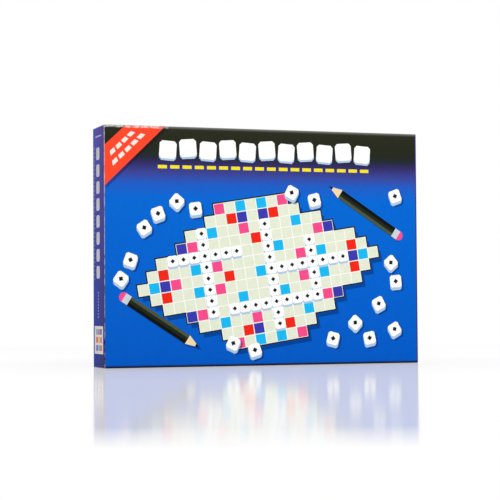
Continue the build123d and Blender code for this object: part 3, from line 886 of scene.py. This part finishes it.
def fibre_board(name, dark, pale, fibre_mm, roughness):
    """Matt pulp board or paper: mottled, with short stretched fibres and a slight tooth."""
    material, tree, shader, coords = new_material(name, Roughness=roughness, Specular_IOR_Level=0.2)
    stretched = add_node(tree, "ShaderNodeMapping", {"Vector": coords, "Scale": FIBRE_STRETCH}).outputs[0]
    fibres = add_node(tree, "ShaderNodeTexNoise", {
        "Vector": stretched, "Scale": per(fibre_mm), "Detail": 4.0, "Roughness": 0.7}).outputs["Fac"]
    clouds = add_node(tree, "ShaderNodeTexNoise", {
        "Vector": coords, "Scale": per(fibre_mm * CLOUD_FIBRES), "Detail": 3.0}).outputs["Fac"]
    both = add_node(tree, "ShaderNodeMath", {0: fibres, 1: clouds}, operation="ADD").outputs[0]
    tone = add_node(tree, "ShaderNodeMapRange", {
        "Value": both, "From Min": FIBRE_DARK, "From Max": FIBRE_PALE})
    colour = add_node(tree, "ShaderNodeMix", {
        0: tone.outputs[0], MIX_A: linear(dark), MIX_B: linear(pale)}, data_type="RGBA")
    tree.links.new(colour.outputs[MIX_OUT], shader.inputs["Base Color"])
    relief = add_node(tree, "ShaderNodeBump", {"Height": fibres, "Strength": 0.35, "Distance": TOOTH})
    tree.links.new(relief.outputs[0], shader.inputs["Normal"])
    return material


def dress(material, *names):
    """Gives solids of the frame their material."""
    for name in names:
        nodes[name].data.materials.clear()
        nodes[name].data.materials.append(material)


greyboard = fibre_board("pressed_greyboard", "#7E7A72", "#A49F95", fibre_mm=0.9, roughness=0.85)
kraft = fibre_board("kraft_stay_paper", "#8B6A45", "#AB8961", fibre_mm=0.7, roughness=0.8)
dress(greyboard, "lid_panel", "lid_walls", "base_panel", "base_walls", "rear_leaf_core", "front_leaf_core")
dress(kraft, "lid_corner_stays", "base_corner_stays")
print("dressed with", greyboard.name, "and", kraft.name)

# %% Dyed wrap of the base
DYE_CLOUD, DYE_FIBRE, DYED_WAVE, DYED_STRETCH = 60.0, 2.0, 24.0, (0.3, 1.0, 1.0)


def dyed_wrap_paper():
    """Dyed wrapping paper: clouded indigo with a fibre grain, rubbed pale at the case's edges."""
    material, tree, shader, coords = new_material(
        "dyed_wrap_paper", Roughness=0.55, Specular_IOR_Level=0.2)
    clouds = add_node(tree, "ShaderNodeTexNoise", {
        "Vector": coords, "Scale": per(DYE_CLOUD), "Detail": 3.0}).outputs["Fac"]
    stretched = add_node(tree, "ShaderNodeMapping", {"Vector": coords, "Scale": DYED_STRETCH}).outputs[0]
    fibres = add_node(tree, "ShaderNodeTexNoise", {
        "Vector": stretched, "Scale": per(DYE_FIBRE), "Detail": 5.0, "Roughness": 0.7}).outputs["Fac"]
    both = add_node(tree, "ShaderNodeMath", {0: clouds, 1: fibres}, operation="ADD").outputs[0]
    grain = add_node(tree, "ShaderNodeMapRange", {
        "Value": both, "From Min": FIBRE_DARK, "From Max": FIBRE_PALE})
    tone = add_node(tree, "ShaderNodeMix", {
        0: grain.outputs[0], MIX_A: linear("#222C6C"), MIX_B: linear("#33418C")}, data_type="RGBA")
    wear = edge_wear(tree, coords, base_low, base_high, reach_mm=2.2, left_boost=0.3, foot_cut=-0.1)
    worn = add_node(tree, "ShaderNodeMix", {
        0: wear, MIX_A: tone.outputs[MIX_OUT], MIX_B: linear("#C4C6D0")}, data_type="RGBA")
    tree.links.new(worn.outputs[MIX_OUT], shader.inputs["Base Color"])
    waves = add_node(tree, "ShaderNodeTexNoise", {"Vector": coords, "Scale": per(DYED_WAVE)}).outputs["Fac"]
    relief = add_node(tree, "ShaderNodeBump", {
        "Height": waves, "Strength": WAVE_STRENGTH, "Distance": WAVE_DEPTH})
    tree.links.new(relief.outputs[0], shader.inputs["Normal"])
    return material


base_paper = dyed_wrap_paper()
dress(base_paper, "base_back_wrap", "base_side_wraps")
print("dressed with", base_paper.name)

# %% [markdown]
# ## Plastics
#
# The insert is a polystyrene sheet drawn over a mould while warm, so it is satin with a faint
# orange peel. The racks are moulded ABS with a spark-eroded grain, which scatters light in fine
# points. The tiles are a denser, smoother plastic, ivory and slightly clouded. One recipe with
# other values serves all three: soft clouds vary the colour and the gloss, and a fine noise is
# the grain.

# %% Plastic materials
GLOSS_CHANGE = 0.15


def moulded_plastic(name, dark, pale, roughness, cloud_mm, grain_mm, grain_depth):
    """Moulded plastic: a slightly clouded colour and the mould's grain."""
    material, tree, shader, coords = new_material(name, IOR=1.54)
    clouds = add_node(tree, "ShaderNodeTexNoise", {
        "Vector": coords, "Scale": per(cloud_mm), "Detail": 3.0}).outputs["Fac"]
    colour = add_node(tree, "ShaderNodeMix", {
        0: clouds, MIX_A: linear(dark), MIX_B: linear(pale)}, data_type="RGBA")
    tree.links.new(colour.outputs[MIX_OUT], shader.inputs["Base Color"])
    gloss = add_node(tree, "ShaderNodeMapRange", {
        "Value": clouds, "To Min": roughness * (1 - GLOSS_CHANGE), "To Max": roughness * (1 + GLOSS_CHANGE)})
    tree.links.new(gloss.outputs[0], shader.inputs["Roughness"])
    grain = add_node(tree, "ShaderNodeTexNoise", {
        "Vector": coords, "Scale": per(grain_mm), "Detail": 3.0}).outputs["Fac"]
    relief = add_node(tree, "ShaderNodeBump", {
        "Height": grain, "Strength": 0.4, "Distance": grain_depth * MM})
    tree.links.new(relief.outputs[0], shader.inputs["Normal"])
    return material


formed_sheet = moulded_plastic(
    "formed_polystyrene_sheet", "#1E4FA8", "#2A60BC", 0.34, cloud_mm=30.0, grain_mm=1.2, grain_depth=0.03)
black_abs = moulded_plastic(
    "moulded_black_abs", "#131513", "#1E211D", 0.42, cloud_mm=8.0, grain_mm=0.5, grain_depth=0.05)
ivory = moulded_plastic(
    "moulded_ivory_plastic", "#E6DFC8", "#F1EBD8", 0.3, cloud_mm=7.0, grain_mm=0.6, grain_depth=0.02)
racks = sorted(name for name in nodes if name.startswith("rack_"))
tile_rows = sorted(name for name in nodes if name.startswith("tile_row_"))
dress(black_abs, *racks)
dress(ivory, *tile_rows)
print("plastics dressed:", len(racks), "racks and", len(tile_rows), "rows of tiles")

# %% [markdown]
# ## The formed insert
#
# A warm sheet that is drawn over a mould has no sharp edge: its bends are small rounds, and the
# walls of its wells lean so that it comes off the mould. Wells cut out of a block would have
# sharp edges, so the sheet is a height map: at each place it lies as deep as the deepest well
# there. The lines of a grid run along the mouths, the rounds and the floors of all wells, so few
# cells are needed. A wall thickness is added last.

# %% Wells of the insert
SIDE_ROOM, SEAT_ROOM, TROUGH_WIDTH, TROUGH_DEPTH = 0.5 * MM, 0.2 * MM, 24.0 * MM, 14.0 * MM
SHEET, BEND, DRAFT = 0.8 * MM, 1.2 * MM, math.tan(math.radians(3.0))
sheet_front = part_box("insert_flange")[0].y
skirt_low, skirt_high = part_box("insert_skirt")


def well_round(low, high):
    """A well that seats a box: its mouth from low to high across and up, and its depth."""
    depth = high.y + SEAT_ROOM - sheet_front
    room = SIDE_ROOM + depth * DRAFT
    return low.x - room, low.z - room, high.x + room, high.z + room, depth


def insert_wells():
    """The tile well, the rack wells and the finger trough from the lowest rack to the highest."""
    tile_boxes = [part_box(name) for name in tile_rows]
    tile_low = Vector(map(min, zip(*[low for low, _ in tile_boxes])))
    tile_high = Vector(map(max, zip(*[high for _, high in tile_boxes])))
    rack_wells = [well_round(*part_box(name)) for name in racks]
    middle = (rack_wells[0][0] + rack_wells[0][2]) / 2
    heights = sorted((well[1] + well[3]) / 2 for well in rack_wells)
    trough = (middle - TROUGH_WIDTH / 2, heights[0], middle + TROUGH_WIDTH / 2, heights[-1], TROUGH_DEPTH)
    return [well_round(tile_low, tile_high), *rack_wells, trough]


wells = insert_wells()
print("wells of the insert, depths in mm:", [round(well[4] / MM, 1) for well in wells])

# %% Depth and grid of the insert
ROUND_SHARES = (0.0, 0.35, 0.65, 0.86, 1.0)


def round_drop(share):
    """How far a bend's round has dropped after this share of its width."""
    return BEND * (1 - math.sqrt(1 - min(max(share, 0.0), 1.0) ** 2))


def depth_at(x, z):
    """How deep the sheet lies at a place: a round at each mouth and outer edge, and walls that lean in."""
    edge = min(x - skirt_low.x, skirt_high.x - x, z - skirt_low.z, skirt_high.z - z)
    depths = [round_drop(1 - edge / BEND)]
    for low_x, low_z, high_x, high_z, depth in wells:
        inside = min(x - low_x, high_x - x, z - low_z, high_z - z)
        depths.append(round_drop(1 + inside / BEND) if inside <= 0 else min(BEND + inside / DRAFT, depth))
    return max(depths)


def grid_lines(low_end, high_end, first, last):
    """Places of the grid's lines in one direction: the outer rounds, and each well's rounds and floors."""
    lines = {low_end + BEND * share for share in ROUND_SHARES}
    lines |= {high_end - BEND * share for share in ROUND_SHARES}
    for well in wells:
        lean = (well[4] - BEND) * DRAFT
        for mouth, way in ((well[first], 1), (well[last], -1)):
            lines |= {mouth - way * BEND * (1 - share) for share in ROUND_SHARES} | {mouth + way * lean}
    return sorted({round(line, 6) for line in lines})


across_lines = grid_lines(skirt_low.x, skirt_high.x, 0, 2)
upward_lines = grid_lines(skirt_low.z, skirt_high.z, 1, 3)
print("grid of", len(across_lines), "by", len(upward_lines), "lines")

# %% Insert sheet
def cell_faces(a, b, c, d):
    """Faces of a cell. A bent cell is cut along its steeper diagonal, which is where two walls meet."""
    if abs(a.co.y + c.co.y - b.co.y - d.co.y) < CUT_TOLERANCE * MM:
        return [(a, b, c, d)]
    if abs(a.co.y - c.co.y) > abs(b.co.y - d.co.y):
        return [(a, b, c), (a, c, d)]
    return [(a, b, d), (b, c, d)]


def make_insert_sheet():
    """The sheet with its wells, its skirt and its wall."""
    mesh = bmesh.new()
    rows = [
        [mesh.verts.new((x, sheet_front + depth_at(x, z), z)) for x in across_lines] for z in upward_lines]
    for lower, upper in zip(rows, rows[1:]):
        for a, b, c, d in zip(lower, lower[1:], upper[1:], upper):
            for corners in cell_faces(a, b, c, d):
                mesh.faces.new(corners)
    made = bmesh.ops.extrude_edge_only(mesh, edges=[e for e in mesh.edges if e.is_boundary])["geom"]
    for vert in [g for g in made if isinstance(g, bmesh.types.BMVert)]:
        vert.co.y = skirt_high.y
    bmesh.ops.recalc_face_normals(mesh, faces=mesh.faces)
    piece = finish_piece(
        mesh, "insert_formed_sheet", formed_sheet, "base", "blue_plastic",
        "insert_skirt", "insert_tile_well", "insert_flange", "insert_rack_floors", "insert_lands")
    return thicken(piece, SHEET)


insert_sheet = make_insert_sheet()
print("insert sheet:", len(insert_sheet.data.polygons), "faces before its wall is added")

# %% [markdown]
# ## Letters on the tiles
#
# Each tile carries one printed letter. The same small set of letter shapes repeats over a
# hundred tiles, so this is a task for Geometry Nodes: points in the middles of the tiles carry
# the number of a letter, and each point picks that letter from a collection. The set runs in
# order of the alphabet, with more vowels, and two tiles stay blank. The film of ink lies just
# in front of the tiles, because ink laid exactly on a face would flicker with it.

# %% Letter shapes
ALPHABET, VOWELS = "ABCDEFGHIJKLMNOPQRSTUVWXYZ", "AEIOU"


def letter_collection():
    """One flat mesh for each letter, of size one, centred, standing upright and facing the front."""
    collection = bpy.data.collections.new("letters")
    bpy.context.scene.collection.children.link(collection)
    for letter in ALPHABET:
        curve = bpy.data.curves.new("letter_" + letter, "FONT")
        curve.body = letter
        curve.align_x, curve.align_y = "CENTER", "CENTER"
        text = bpy.data.objects.new("letter_text_" + letter, curve)
        collection.objects.link(text)
        data = bpy.data.meshes.new_from_object(text.evaluated_get(bpy.context.evaluated_depsgraph_get()))
        data.transform(Matrix.Rotation(math.pi / 2, 4, "X"))
        bpy.data.objects.remove(text)
        collection.objects.link(bpy.data.objects.new("letter_" + letter, data))
    return collection


letters = letter_collection()

# %% Points on the tiles
VOWEL_COUNT, CONSONANT_COUNT, TILES_IN_ROW = 7, 3, 10
LETTER_SIZE, INK_FILM = 11.5 * MM, 0.02 * MM


def tile_points():
    """A mesh with a point in the middle of each lettered tile, and the letter's number as an attribute."""
    numbers = [i for i, letter in enumerate(ALPHABET)
               for _ in range(VOWEL_COUNT if letter in VOWELS else CONSONANT_COUNT)]
    places = []
    for name in tile_rows:
        low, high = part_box(name)
        half = (high.z - low.z) / 2
        pitch = (high.x - low.x - 2 * half) / (TILES_IN_ROW - 1)
        for number in range(TILES_IN_ROW):
            places.append((low.x + half + number * pitch, low.y - INK_FILM, low.z + half))
    data = bpy.data.meshes.new("tile_points")
    data.from_pydata(places[:len(numbers)], [], [])
    data.attributes.new("letter", "INT", "POINT").data.foreach_set("value", numbers)
    return data


carrier = bpy.data.objects.new("tile_points", tile_points())
bpy.context.scene.collection.objects.link(carrier)
print("lettered tiles:", len(carrier.data.vertices))

# %% Ink and letter tree
INK_GRAIN = 1.2


def pad_printed_ink():
    """Pad-printed black ink: matt, with a slightly uneven cover."""
    material, tree, shader, coords = new_material("pad_printed_ink", Roughness=0.6, Specular_IOR_Level=0.3)
    cover = add_node(tree, "ShaderNodeTexNoise", {
        "Vector": coords, "Scale": per(INK_GRAIN), "Detail": 4.0}).outputs["Fac"]
    colour = add_node(tree, "ShaderNodeMix", {
        0: cover, MIX_A: linear("#0D0D0E"), MIX_B: linear("#2A2A2C")}, data_type="RGBA")
    tree.links.new(colour.outputs[MIX_OUT], shader.inputs["Base Color"])
    return material


def letter_tree(collection, material):
    """Tree that sets the numbered letter on each point, and its size input's identifier."""
    tree = bpy.data.node_groups.new("letters_on_tiles", "GeometryNodeTree")
    tree.interface.new_socket("Geometry", in_out="INPUT", socket_type="NodeSocketGeometry")
    size = tree.interface.new_socket("Letter Size", in_out="INPUT", socket_type="NodeSocketFloat")
    tree.interface.new_socket("Geometry", in_out="OUTPUT", socket_type="NodeSocketGeometry")
    given = add_node(tree, "NodeGroupInput").outputs
    shapes = add_node(tree, "GeometryNodeCollectionInfo", {
        "Collection": collection, "Separate Children": True, "Reset Children": True})
    number = add_node(tree, "GeometryNodeInputNamedAttribute", {"Name": "letter"}, data_type="INT")
    set_letters = add_node(tree, "GeometryNodeInstanceOnPoints", {
        "Points": given["Geometry"], "Instance": shapes.outputs[0], "Pick Instance": True,
        "Instance Index": number.outputs["Attribute"], "Scale": given["Letter Size"]})
    real = add_node(tree, "GeometryNodeRealizeInstances", {"Geometry": set_letters.outputs[0]})
    inked = add_node(tree, "GeometryNodeSetMaterial", {"Geometry": real.outputs[0], "Material": material})
    add_node(tree, "NodeGroupOutput", {"Geometry": inked.outputs[0]})
    return tree, size.identifier


tile_ink = pad_printed_ink()
letter_nodes, size_input = letter_tree(letters, tile_ink)
print("letter tree:", len(letter_nodes.nodes), "nodes")

# %% Letters on the tiles
modifier = carrier.modifiers.new("letters", "NODES")
modifier.node_group = letter_nodes
modifier[size_input] = LETTER_SIZE
letter_mesh = bpy.data.meshes.new_from_object(carrier.evaluated_get(bpy.context.evaluated_depsgraph_get()))
letter_mesh.polygons.foreach_set("material_index", [0] * len(letter_mesh.polygons))
letter_mesh.materials.clear()
letter_mesh.materials.append(tile_ink)
carrier.modifiers.remove(modifier)
for helper in [carrier, *letters.objects]:
    bpy.data.objects.remove(helper)
bpy.data.collections.remove(letters)
tile_letters = thicken(place_piece(letter_mesh, "tile_letters", "tiles", "ivory_plastic"), INK_FILM)
print(tile_letters.name, "has", len(letter_mesh.polygons), "faces of", letter_mesh.materials[0].name)

# %% [markdown]
# ## The game board
#
# The board is two leaves of greyboard, each with a printed face and a black embossed backing,
# joined by a linen crease. The face carries a lattice of fifteen squares a side. The fold runs
# through the middle line of squares, so each leaf gets the part of the print that lies on it.
# Folded, the front leaf's face looks backwards, so its print runs downwards there.

# %% Board print
BOARD_SQUARES, SQUARE_PITCH, BOARD_SIDE, SQUARE_SHARE = 15, 19.0, 310.0, 0.94
LINE_GAP, LINE_WIDTH = 2.4, 1.2


def board_shapes():
    """The board's print: a pale field, a red line and the lattice of squares."""
    margin = (BOARD_SIDE - BOARD_SQUARES * SQUARE_PITCH) / 2
    outer, inner = margin - LINE_GAP, margin - LINE_GAP + LINE_WIDTH
    shapes = [(rectangle(outer, outer, BOARD_SIDE - outer, BOARD_SIDE - outer), RED)]
    shapes.append((rectangle(inner, inner, BOARD_SIDE - inner, BOARD_SIDE - inner), LATTICE))
    centre = BOARD_SQUARES // 2
    for column in range(BOARD_SQUARES):
        for row in range(BOARD_SQUARES):
            place = [margin + (i + 0.5) * SQUARE_PITCH for i in (column, row)]
            outline = moved(square(SQUARE_PITCH * SQUARE_SHARE), *place)
            shapes.append((outline, square_ink(column - centre, row - centre)))
    return shapes


print("the board has", len(board_shapes()), "printed shapes")

# %% Leaf prints
def make_board_print(name, node, body, facing):
    """Printed sheet of one leaf, in its node's place. Facing is -1 where the face looks to the front."""
    low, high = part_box(node)
    left = (low.x + high.x) / 2 - BOARD_SIDE / 2 * MM
    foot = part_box("rear_leaf_backing")[0].z
    face_y = low.y if facing < 0 else high.y
    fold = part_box("fold_crease")
    axis = (fold[0].z + fold[1].z) / 2

    def place(u, v):
        height = foot + v * MM
        return Vector((left + u * MM, face_y, height if facing < 0 else 2 * axis - height))

    ends = [(h - foot) / MM for h in (low.z, high.z)]
    if facing > 0:
        ends = [(2 * axis - h - foot) / MM for h in (high.z, low.z)]
    sheet = rectangle((low.x - left) / MM, ends[0], (high.x - left) / MM, ends[1])
    mesh = bmesh.new()
    lay_print(mesh, sheet, board_shapes(), place)
    return thicken(finish_piece(mesh, name, board_print, body, "board_print", node), high.y - low.y)


rear_print = make_board_print("rear_leaf_print", "rear_leaf_face", "board_rear", -1)
front_print = make_board_print("front_leaf_print", "front_leaf_face", "board_front", 1)
print("board prints:", len(rear_print.data.polygons), "and", len(front_print.data.polygons), "faces")

# %% [markdown]
# ## Backing, crease and staples
#
# The backing paper is embossed with a fine leather grain, drawn here as small cells. The crease
# is woven linen: two crossing waves. Wire staples hold the booklet's white paper. All of these
# keep the shape of their solids.

# %% Backing and linen
LEATHER_CELL, LEATHER_DEPTH = 1.4, 0.12 * MM
LINEN_THREAD, LINEN_DEPTH = 1.0, 0.05 * MM
# A wave texture makes 20 / tau waves in one unit, so this share of its scale makes one
ONE_WAVE = math.tau / 20


def embossed_paper():
    """Black backing paper with a pressed leather grain."""
    material, tree, shader, coords = new_material(
        "embossed_black_paper", Roughness=0.5, Specular_IOR_Level=0.4)
    cells = add_node(tree, "ShaderNodeTexVoronoi", {
        "Vector": coords, "Scale": per(LEATHER_CELL)}).outputs["Distance"]
    colour = add_node(tree, "ShaderNodeMix", {
        0: cells, MIX_A: linear("#15171C"), MIX_B: linear("#2B2F38")}, data_type="RGBA")
    tree.links.new(colour.outputs[MIX_OUT], shader.inputs["Base Color"])
    relief = add_node(tree, "ShaderNodeBump", {"Height": cells, "Strength": 0.6, "Distance": LEATHER_DEPTH})
    tree.links.new(relief.outputs[0], shader.inputs["Normal"])
    return material


def book_linen():
    """Woven book linen: two crossing sets of threads, drawn at three times their real width to show."""
    material, tree, shader, coords = new_material("book_linen", Roughness=0.8, Specular_IOR_Level=0.2)
    warp, weft = (
        add_node(tree, "ShaderNodeTexWave", {
            "Vector": coords, "Scale": per(LINEN_THREAD) * ONE_WAVE, "Distortion": 0.4},
            bands_direction=way).outputs["Fac"]
        for way in ("X", "Z"))
    weave = add_node(tree, "ShaderNodeMath", {0: warp, 1: weft}, operation="MAXIMUM").outputs[0]
    colour = add_node(tree, "ShaderNodeMix", {
        0: weave, MIX_A: linear("#0F1013"), MIX_B: linear("#24262B")}, data_type="RGBA")
    tree.links.new(colour.outputs[MIX_OUT], shader.inputs["Base Color"])
    relief = add_node(tree, "ShaderNodeBump", {"Height": weave, "Strength": 0.6, "Distance": LINEN_DEPTH})
    tree.links.new(relief.outputs[0], shader.inputs["Normal"])
    return material


dress(embossed_paper(), "rear_leaf_backing", "front_leaf_backing")
dress(book_linen(), "fold_crease")
print("backing with", LEATHER_CELL, "mm cells and linen with", LINEN_THREAD, "mm threads dressed")

# %% Staples and white paper
WIRE_GRAIN, WIRE_BRIGHT, WIRE_DULL = 0.8, 0.25, 0.45


def staple_wire():
    """Drawn steel wire: bright metal with a little dulling."""
    material, tree, shader, coords = new_material("drawn_steel_wire", Metallic=1.0)
    dull = add_node(tree, "ShaderNodeTexNoise", {
        "Vector": coords, "Scale": per(WIRE_GRAIN), "Detail": 4.0}).outputs["Fac"]
    colour = add_node(tree, "ShaderNodeMix", {
        0: dull, MIX_A: linear("#A9ABAE"), MIX_B: linear("#C9CBCE")}, data_type="RGBA")
    tree.links.new(colour.outputs[MIX_OUT], shader.inputs["Base Color"])
    gloss = add_node(tree, "ShaderNodeMapRange", {"Value": dull, "To Min": WIRE_BRIGHT, "To Max": WIRE_DULL})
    tree.links.new(gloss.outputs[0], shader.inputs["Roughness"])
    return material


white_paper = fibre_board("uncoated_white_paper", "#E4E2DA", "#F3F2EC", fibre_mm=0.8, roughness=0.75)
dress(white_paper, "rules_pages", "rules_cover")
dress(staple_wire(), "rules_staples")
print("booklet dressed with", white_paper.name, "and wire staples")

# %% [markdown]
# ## The booklet's print
#
# The booklet's cover has a blue band with blank tiles, a line of coloured squares, and grey bars
# where lines of print would be. The ink stops a little short of the paper's edges. It is drawn
# and cut like the other prints, and lies as a thin film on the white paper.

# %% Booklet print
BOOKLET_EDGE, BAND_INK, BAR_INK = 0.6, linear("#1B62C4"), linear("#9A9CA2")
BOOKLET_INKS = [RED, SKY, NAVY, PINK, YELLOW]
COLUMN_START_SHARE, COLUMN_PITCH_SHARE = 0.14, 0.09
BAND_SHARE, BAND_TILES, BAND_TILE_SHARE = 0.24, 9, 0.82
INK_SQUARES_RISE_SHARE, INK_SQUARE_SHARE = 0.64, 0.8
BAR_COUNT, BARS_IN_BLOCK, BAR_LEFT_SHARE, BAR_LENGTH_SHARE, LAST_BAR_SHARE = 8, 4, 0.12, 0.76, 0.58
BAR_TOP_SHARE, BAR_STEP_SHARE, BAR_THICK_SHARE = 0.52, 0.055, 0.018


def booklet_shapes(width, height):
    """Front of the booklet: a blue band, a line of coloured squares and two blocks of grey bars."""
    band = height * BAND_SHARE
    shapes = [(rectangle(0, height - band, width, height), BAND_INK)]
    first, pitch = width * COLUMN_START_SHARE, width * COLUMN_PITCH_SHARE
    for number in range(BAND_TILES):
        middle = (first + number * pitch, height - band / 2)
        shapes.append((moved(tile_outline(pitch * BAND_TILE_SHARE), *middle), WHITE))
    for number, ink in enumerate(BOOKLET_INKS):
        middle = (first + number * pitch, height * INK_SQUARES_RISE_SHARE)
        shapes.append((moved(square(pitch * INK_SQUARE_SHARE), *middle), ink))
    left = width * BAR_LEFT_SHARE
    for number in range(BAR_COUNT):
        top = height * (BAR_TOP_SHARE - number * BAR_STEP_SHARE)
        ends_block = number % BARS_IN_BLOCK == BARS_IN_BLOCK - 1
        length = width * (LAST_BAR_SHARE if ends_block else BAR_LENGTH_SHARE)
        bar = rectangle(left, top - height * BAR_THICK_SHARE, left + length, top)
        shapes.append((bar, BAR_INK))
    return shapes


cover_low, cover_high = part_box("rules_cover")
booklet_width, booklet_height = ((cover_high - cover_low) / MM).xz
booklet_sheet = rectangle(
    BOOKLET_EDGE, BOOKLET_EDGE, booklet_width - BOOKLET_EDGE, booklet_height - BOOKLET_EDGE)
booklet_mesh = bmesh.new()
lay_print(
    booklet_mesh, booklet_sheet, booklet_shapes(booklet_width, booklet_height),
    lambda u, v: Vector((cover_low.x + u * MM, cover_low.y - INK_FILM, cover_low.z + v * MM)))
booklet = thicken(
    finish_piece(booklet_mesh, "rules_cover_print", booklet_print, "rules", "printed_paper"), INK_FILM)
print("booklet print:", len(booklet.data.polygons), "faces")

# %% [markdown]
# ## Floor and light
#
# The case stands on a white, slightly glossy table top that mirrors its foot and fades out. The
# floor is a mix: mostly matt white that keeps the shadow, a little mirror, and for the camera
# enough of its own white to run into the background. One broad lamp, high in front, lights the
# cover and leaves the sides darker; the white surroundings fill in the rest.

# %% Floor
FLOOR_SIDE = 12.0
# How much shade and mirror the floor keeps near the case, and the distances over which they end
SHADE, SHADE_NEAR, SHADE_FAR = 0.22, 0.18, 0.42
SHEEN, SHEEN_NEAR, SHEEN_FAR = 0.45, 0.98, 1.12


def studio_floor():
    """White table top: matt and shaded near the case, with a soft mirror sheen that ends at a distance."""
    material, tree, shader, coords = new_material("white_table_top")
    far = add_node(tree, "ShaderNodeVectorMath", {0: coords}, operation="LENGTH").outputs["Value"]
    shade, sheen = (
        add_node(tree, "ShaderNodeMapRange", {
            "Value": far, "From Min": near, "From Max": end, "To Min": most, "To Max": 0.0}).outputs[0]
        for most, near, end in ((SHADE, SHADE_NEAR, SHADE_FAR), (SHEEN, SHEEN_NEAR, SHEEN_FAR)))
    matt = add_node(tree, "ShaderNodeBsdfDiffuse", {"Color": linear("#F0F0F0")}).outputs[0]
    path = add_node(tree, "ShaderNodeLightPath").outputs
    seen = path["Is Camera Ray"]
    for other in ("Is Glossy Ray", "Is Transmission Ray"):
        seen = add_node(tree, "ShaderNodeMath", {0: seen, 1: path[other]}, operation="MAXIMUM").outputs[0]
    glow = add_node(tree, "ShaderNodeEmission", {"Strength": seen}).outputs[0]
    lit = add_node(tree, "ShaderNodeMixShader", {0: seen, 1: matt, 2: glow}).outputs[0]
    plain = add_node(tree, "ShaderNodeMixShader", {0: shade, 1: lit, 2: matt}).outputs[0]
    mirror = add_node(tree, "ShaderNodeBsdfGlossy", {"Color": linear("#FFFFFF"), "Roughness": 0.1})
    mixed = add_node(tree, "ShaderNodeMixShader", {0: sheen, 1: plain, 2: mirror.outputs[0]})
    tree.links.new(mixed.outputs[0], tree.nodes["Material Output"].inputs["Surface"])
    tree.nodes.remove(shader)
    return material


floor_mesh = bmesh.new()
bmesh.ops.create_grid(floor_mesh, x_segments=1, y_segments=1, size=FLOOR_SIDE / 2)
floor_data = bpy.data.meshes.new("floor")
floor_mesh.to_mesh(floor_data)
floor_mesh.free()
floor_data.materials.append(studio_floor())
floor = bpy.data.objects.new("floor", floor_data)
bpy.context.scene.collection.objects.link(floor)
print("floor of", FLOOR_SIDE, "m")

# %% White surroundings
FILL_LIGHT, SEEN_WHITE = 0.6, 1.0

world = bpy.data.worlds.new("white_studio")
bpy.context.scene.world = world
world.use_nodes = True
sky = world.node_tree
rays = add_node(sky, "ShaderNodeLightPath").outputs
direct = add_node(sky, "ShaderNodeMath", {
    0: rays["Is Camera Ray"], 1: rays["Is Glossy Ray"]}, operation="MAXIMUM")
clear = add_node(sky, "ShaderNodeMath", {
    0: direct.outputs[0], 1: rays["Is Transmission Ray"]}, operation="MAXIMUM")
strength = add_node(sky, "ShaderNodeMapRange", {
    "Value": clear.outputs[0], "To Min": FILL_LIGHT, "To Max": SEEN_WHITE})
background = sky.nodes["Background"]
background.inputs["Color"].default_value = linear("#FFFFFF")
sky.links.new(strength.outputs[0], background.inputs["Strength"])
print("white surroundings that light at", FILL_LIGHT)

# %% Lamp
LAMP_PLACE, LAMP_AIM, LAMP_SIZE, LAMP_POWER = Vector((0.35, -2.0, 1.2)), Vector((0, 0, 0.13)), 1.4, 24.5

lamp_data = bpy.data.lights.new("soft_lamp", "AREA")
lamp_data.size = LAMP_SIZE
lamp_data.energy = LAMP_POWER
lamp = bpy.data.objects.new("soft_lamp", lamp_data)
lamp.location = LAMP_PLACE
lamp.rotation_euler = (LAMP_AIM - LAMP_PLACE).to_track_quat("-Z", "Y").to_euler()
bpy.context.scene.collection.objects.link(lamp)
print("lamp of", LAMP_POWER, "W,", round((LAMP_AIM - LAMP_PLACE).length, 2), "m from the case")

# %% [markdown]
# ## The camera
#
# The camera stands low in front of the case, a little to its left, with a long lens. Its place and
# its angles were fitted to the corners of the case. The angles say where it looks from: round the
# case, up from the floor, and a slight roll about the line of sight.

# %% Camera
CAMERA_PLACE = Vector((-638.70, -1780.00, 66.14)) * MM
CAMERA_AZIMUTH, CAMERA_ELEVATION, CAMERA_ROLL = -19.4503, -2.0169, -0.3714
CAMERA_LENS, CAMERA_SENSOR = 117.706, 36.0

azimuth, elevation, roll = (math.radians(a) for a in (CAMERA_AZIMUTH, CAMERA_ELEVATION, CAMERA_ROLL))
level = math.cos(elevation)
backward = Vector((math.sin(azimuth) * level, -math.cos(azimuth) * level, math.sin(elevation)))
rightward = Vector((0, 0, 1)).cross(backward).normalized()
upward = backward.cross(rightward)
rolled_right = rightward * math.cos(roll) + upward * math.sin(roll)
rolled_up = upward * math.cos(roll) - rightward * math.sin(roll)
camera_turn = Matrix((rolled_right, rolled_up, backward)).transposed()
camera_data = bpy.data.cameras.new("camera")
camera_data.sensor_width = CAMERA_SENSOR
camera_data.lens = CAMERA_LENS
camera = bpy.data.objects.new("camera", camera_data)
camera.matrix_world = Matrix.Translation(CAMERA_PLACE) @ camera_turn.to_4x4()
bpy.context.scene.collection.objects.link(camera)
bpy.context.scene.camera = camera
bpy.context.scene.view_settings.view_transform = "Standard"
print("camera at", [round(v, 3) for v in camera.location])
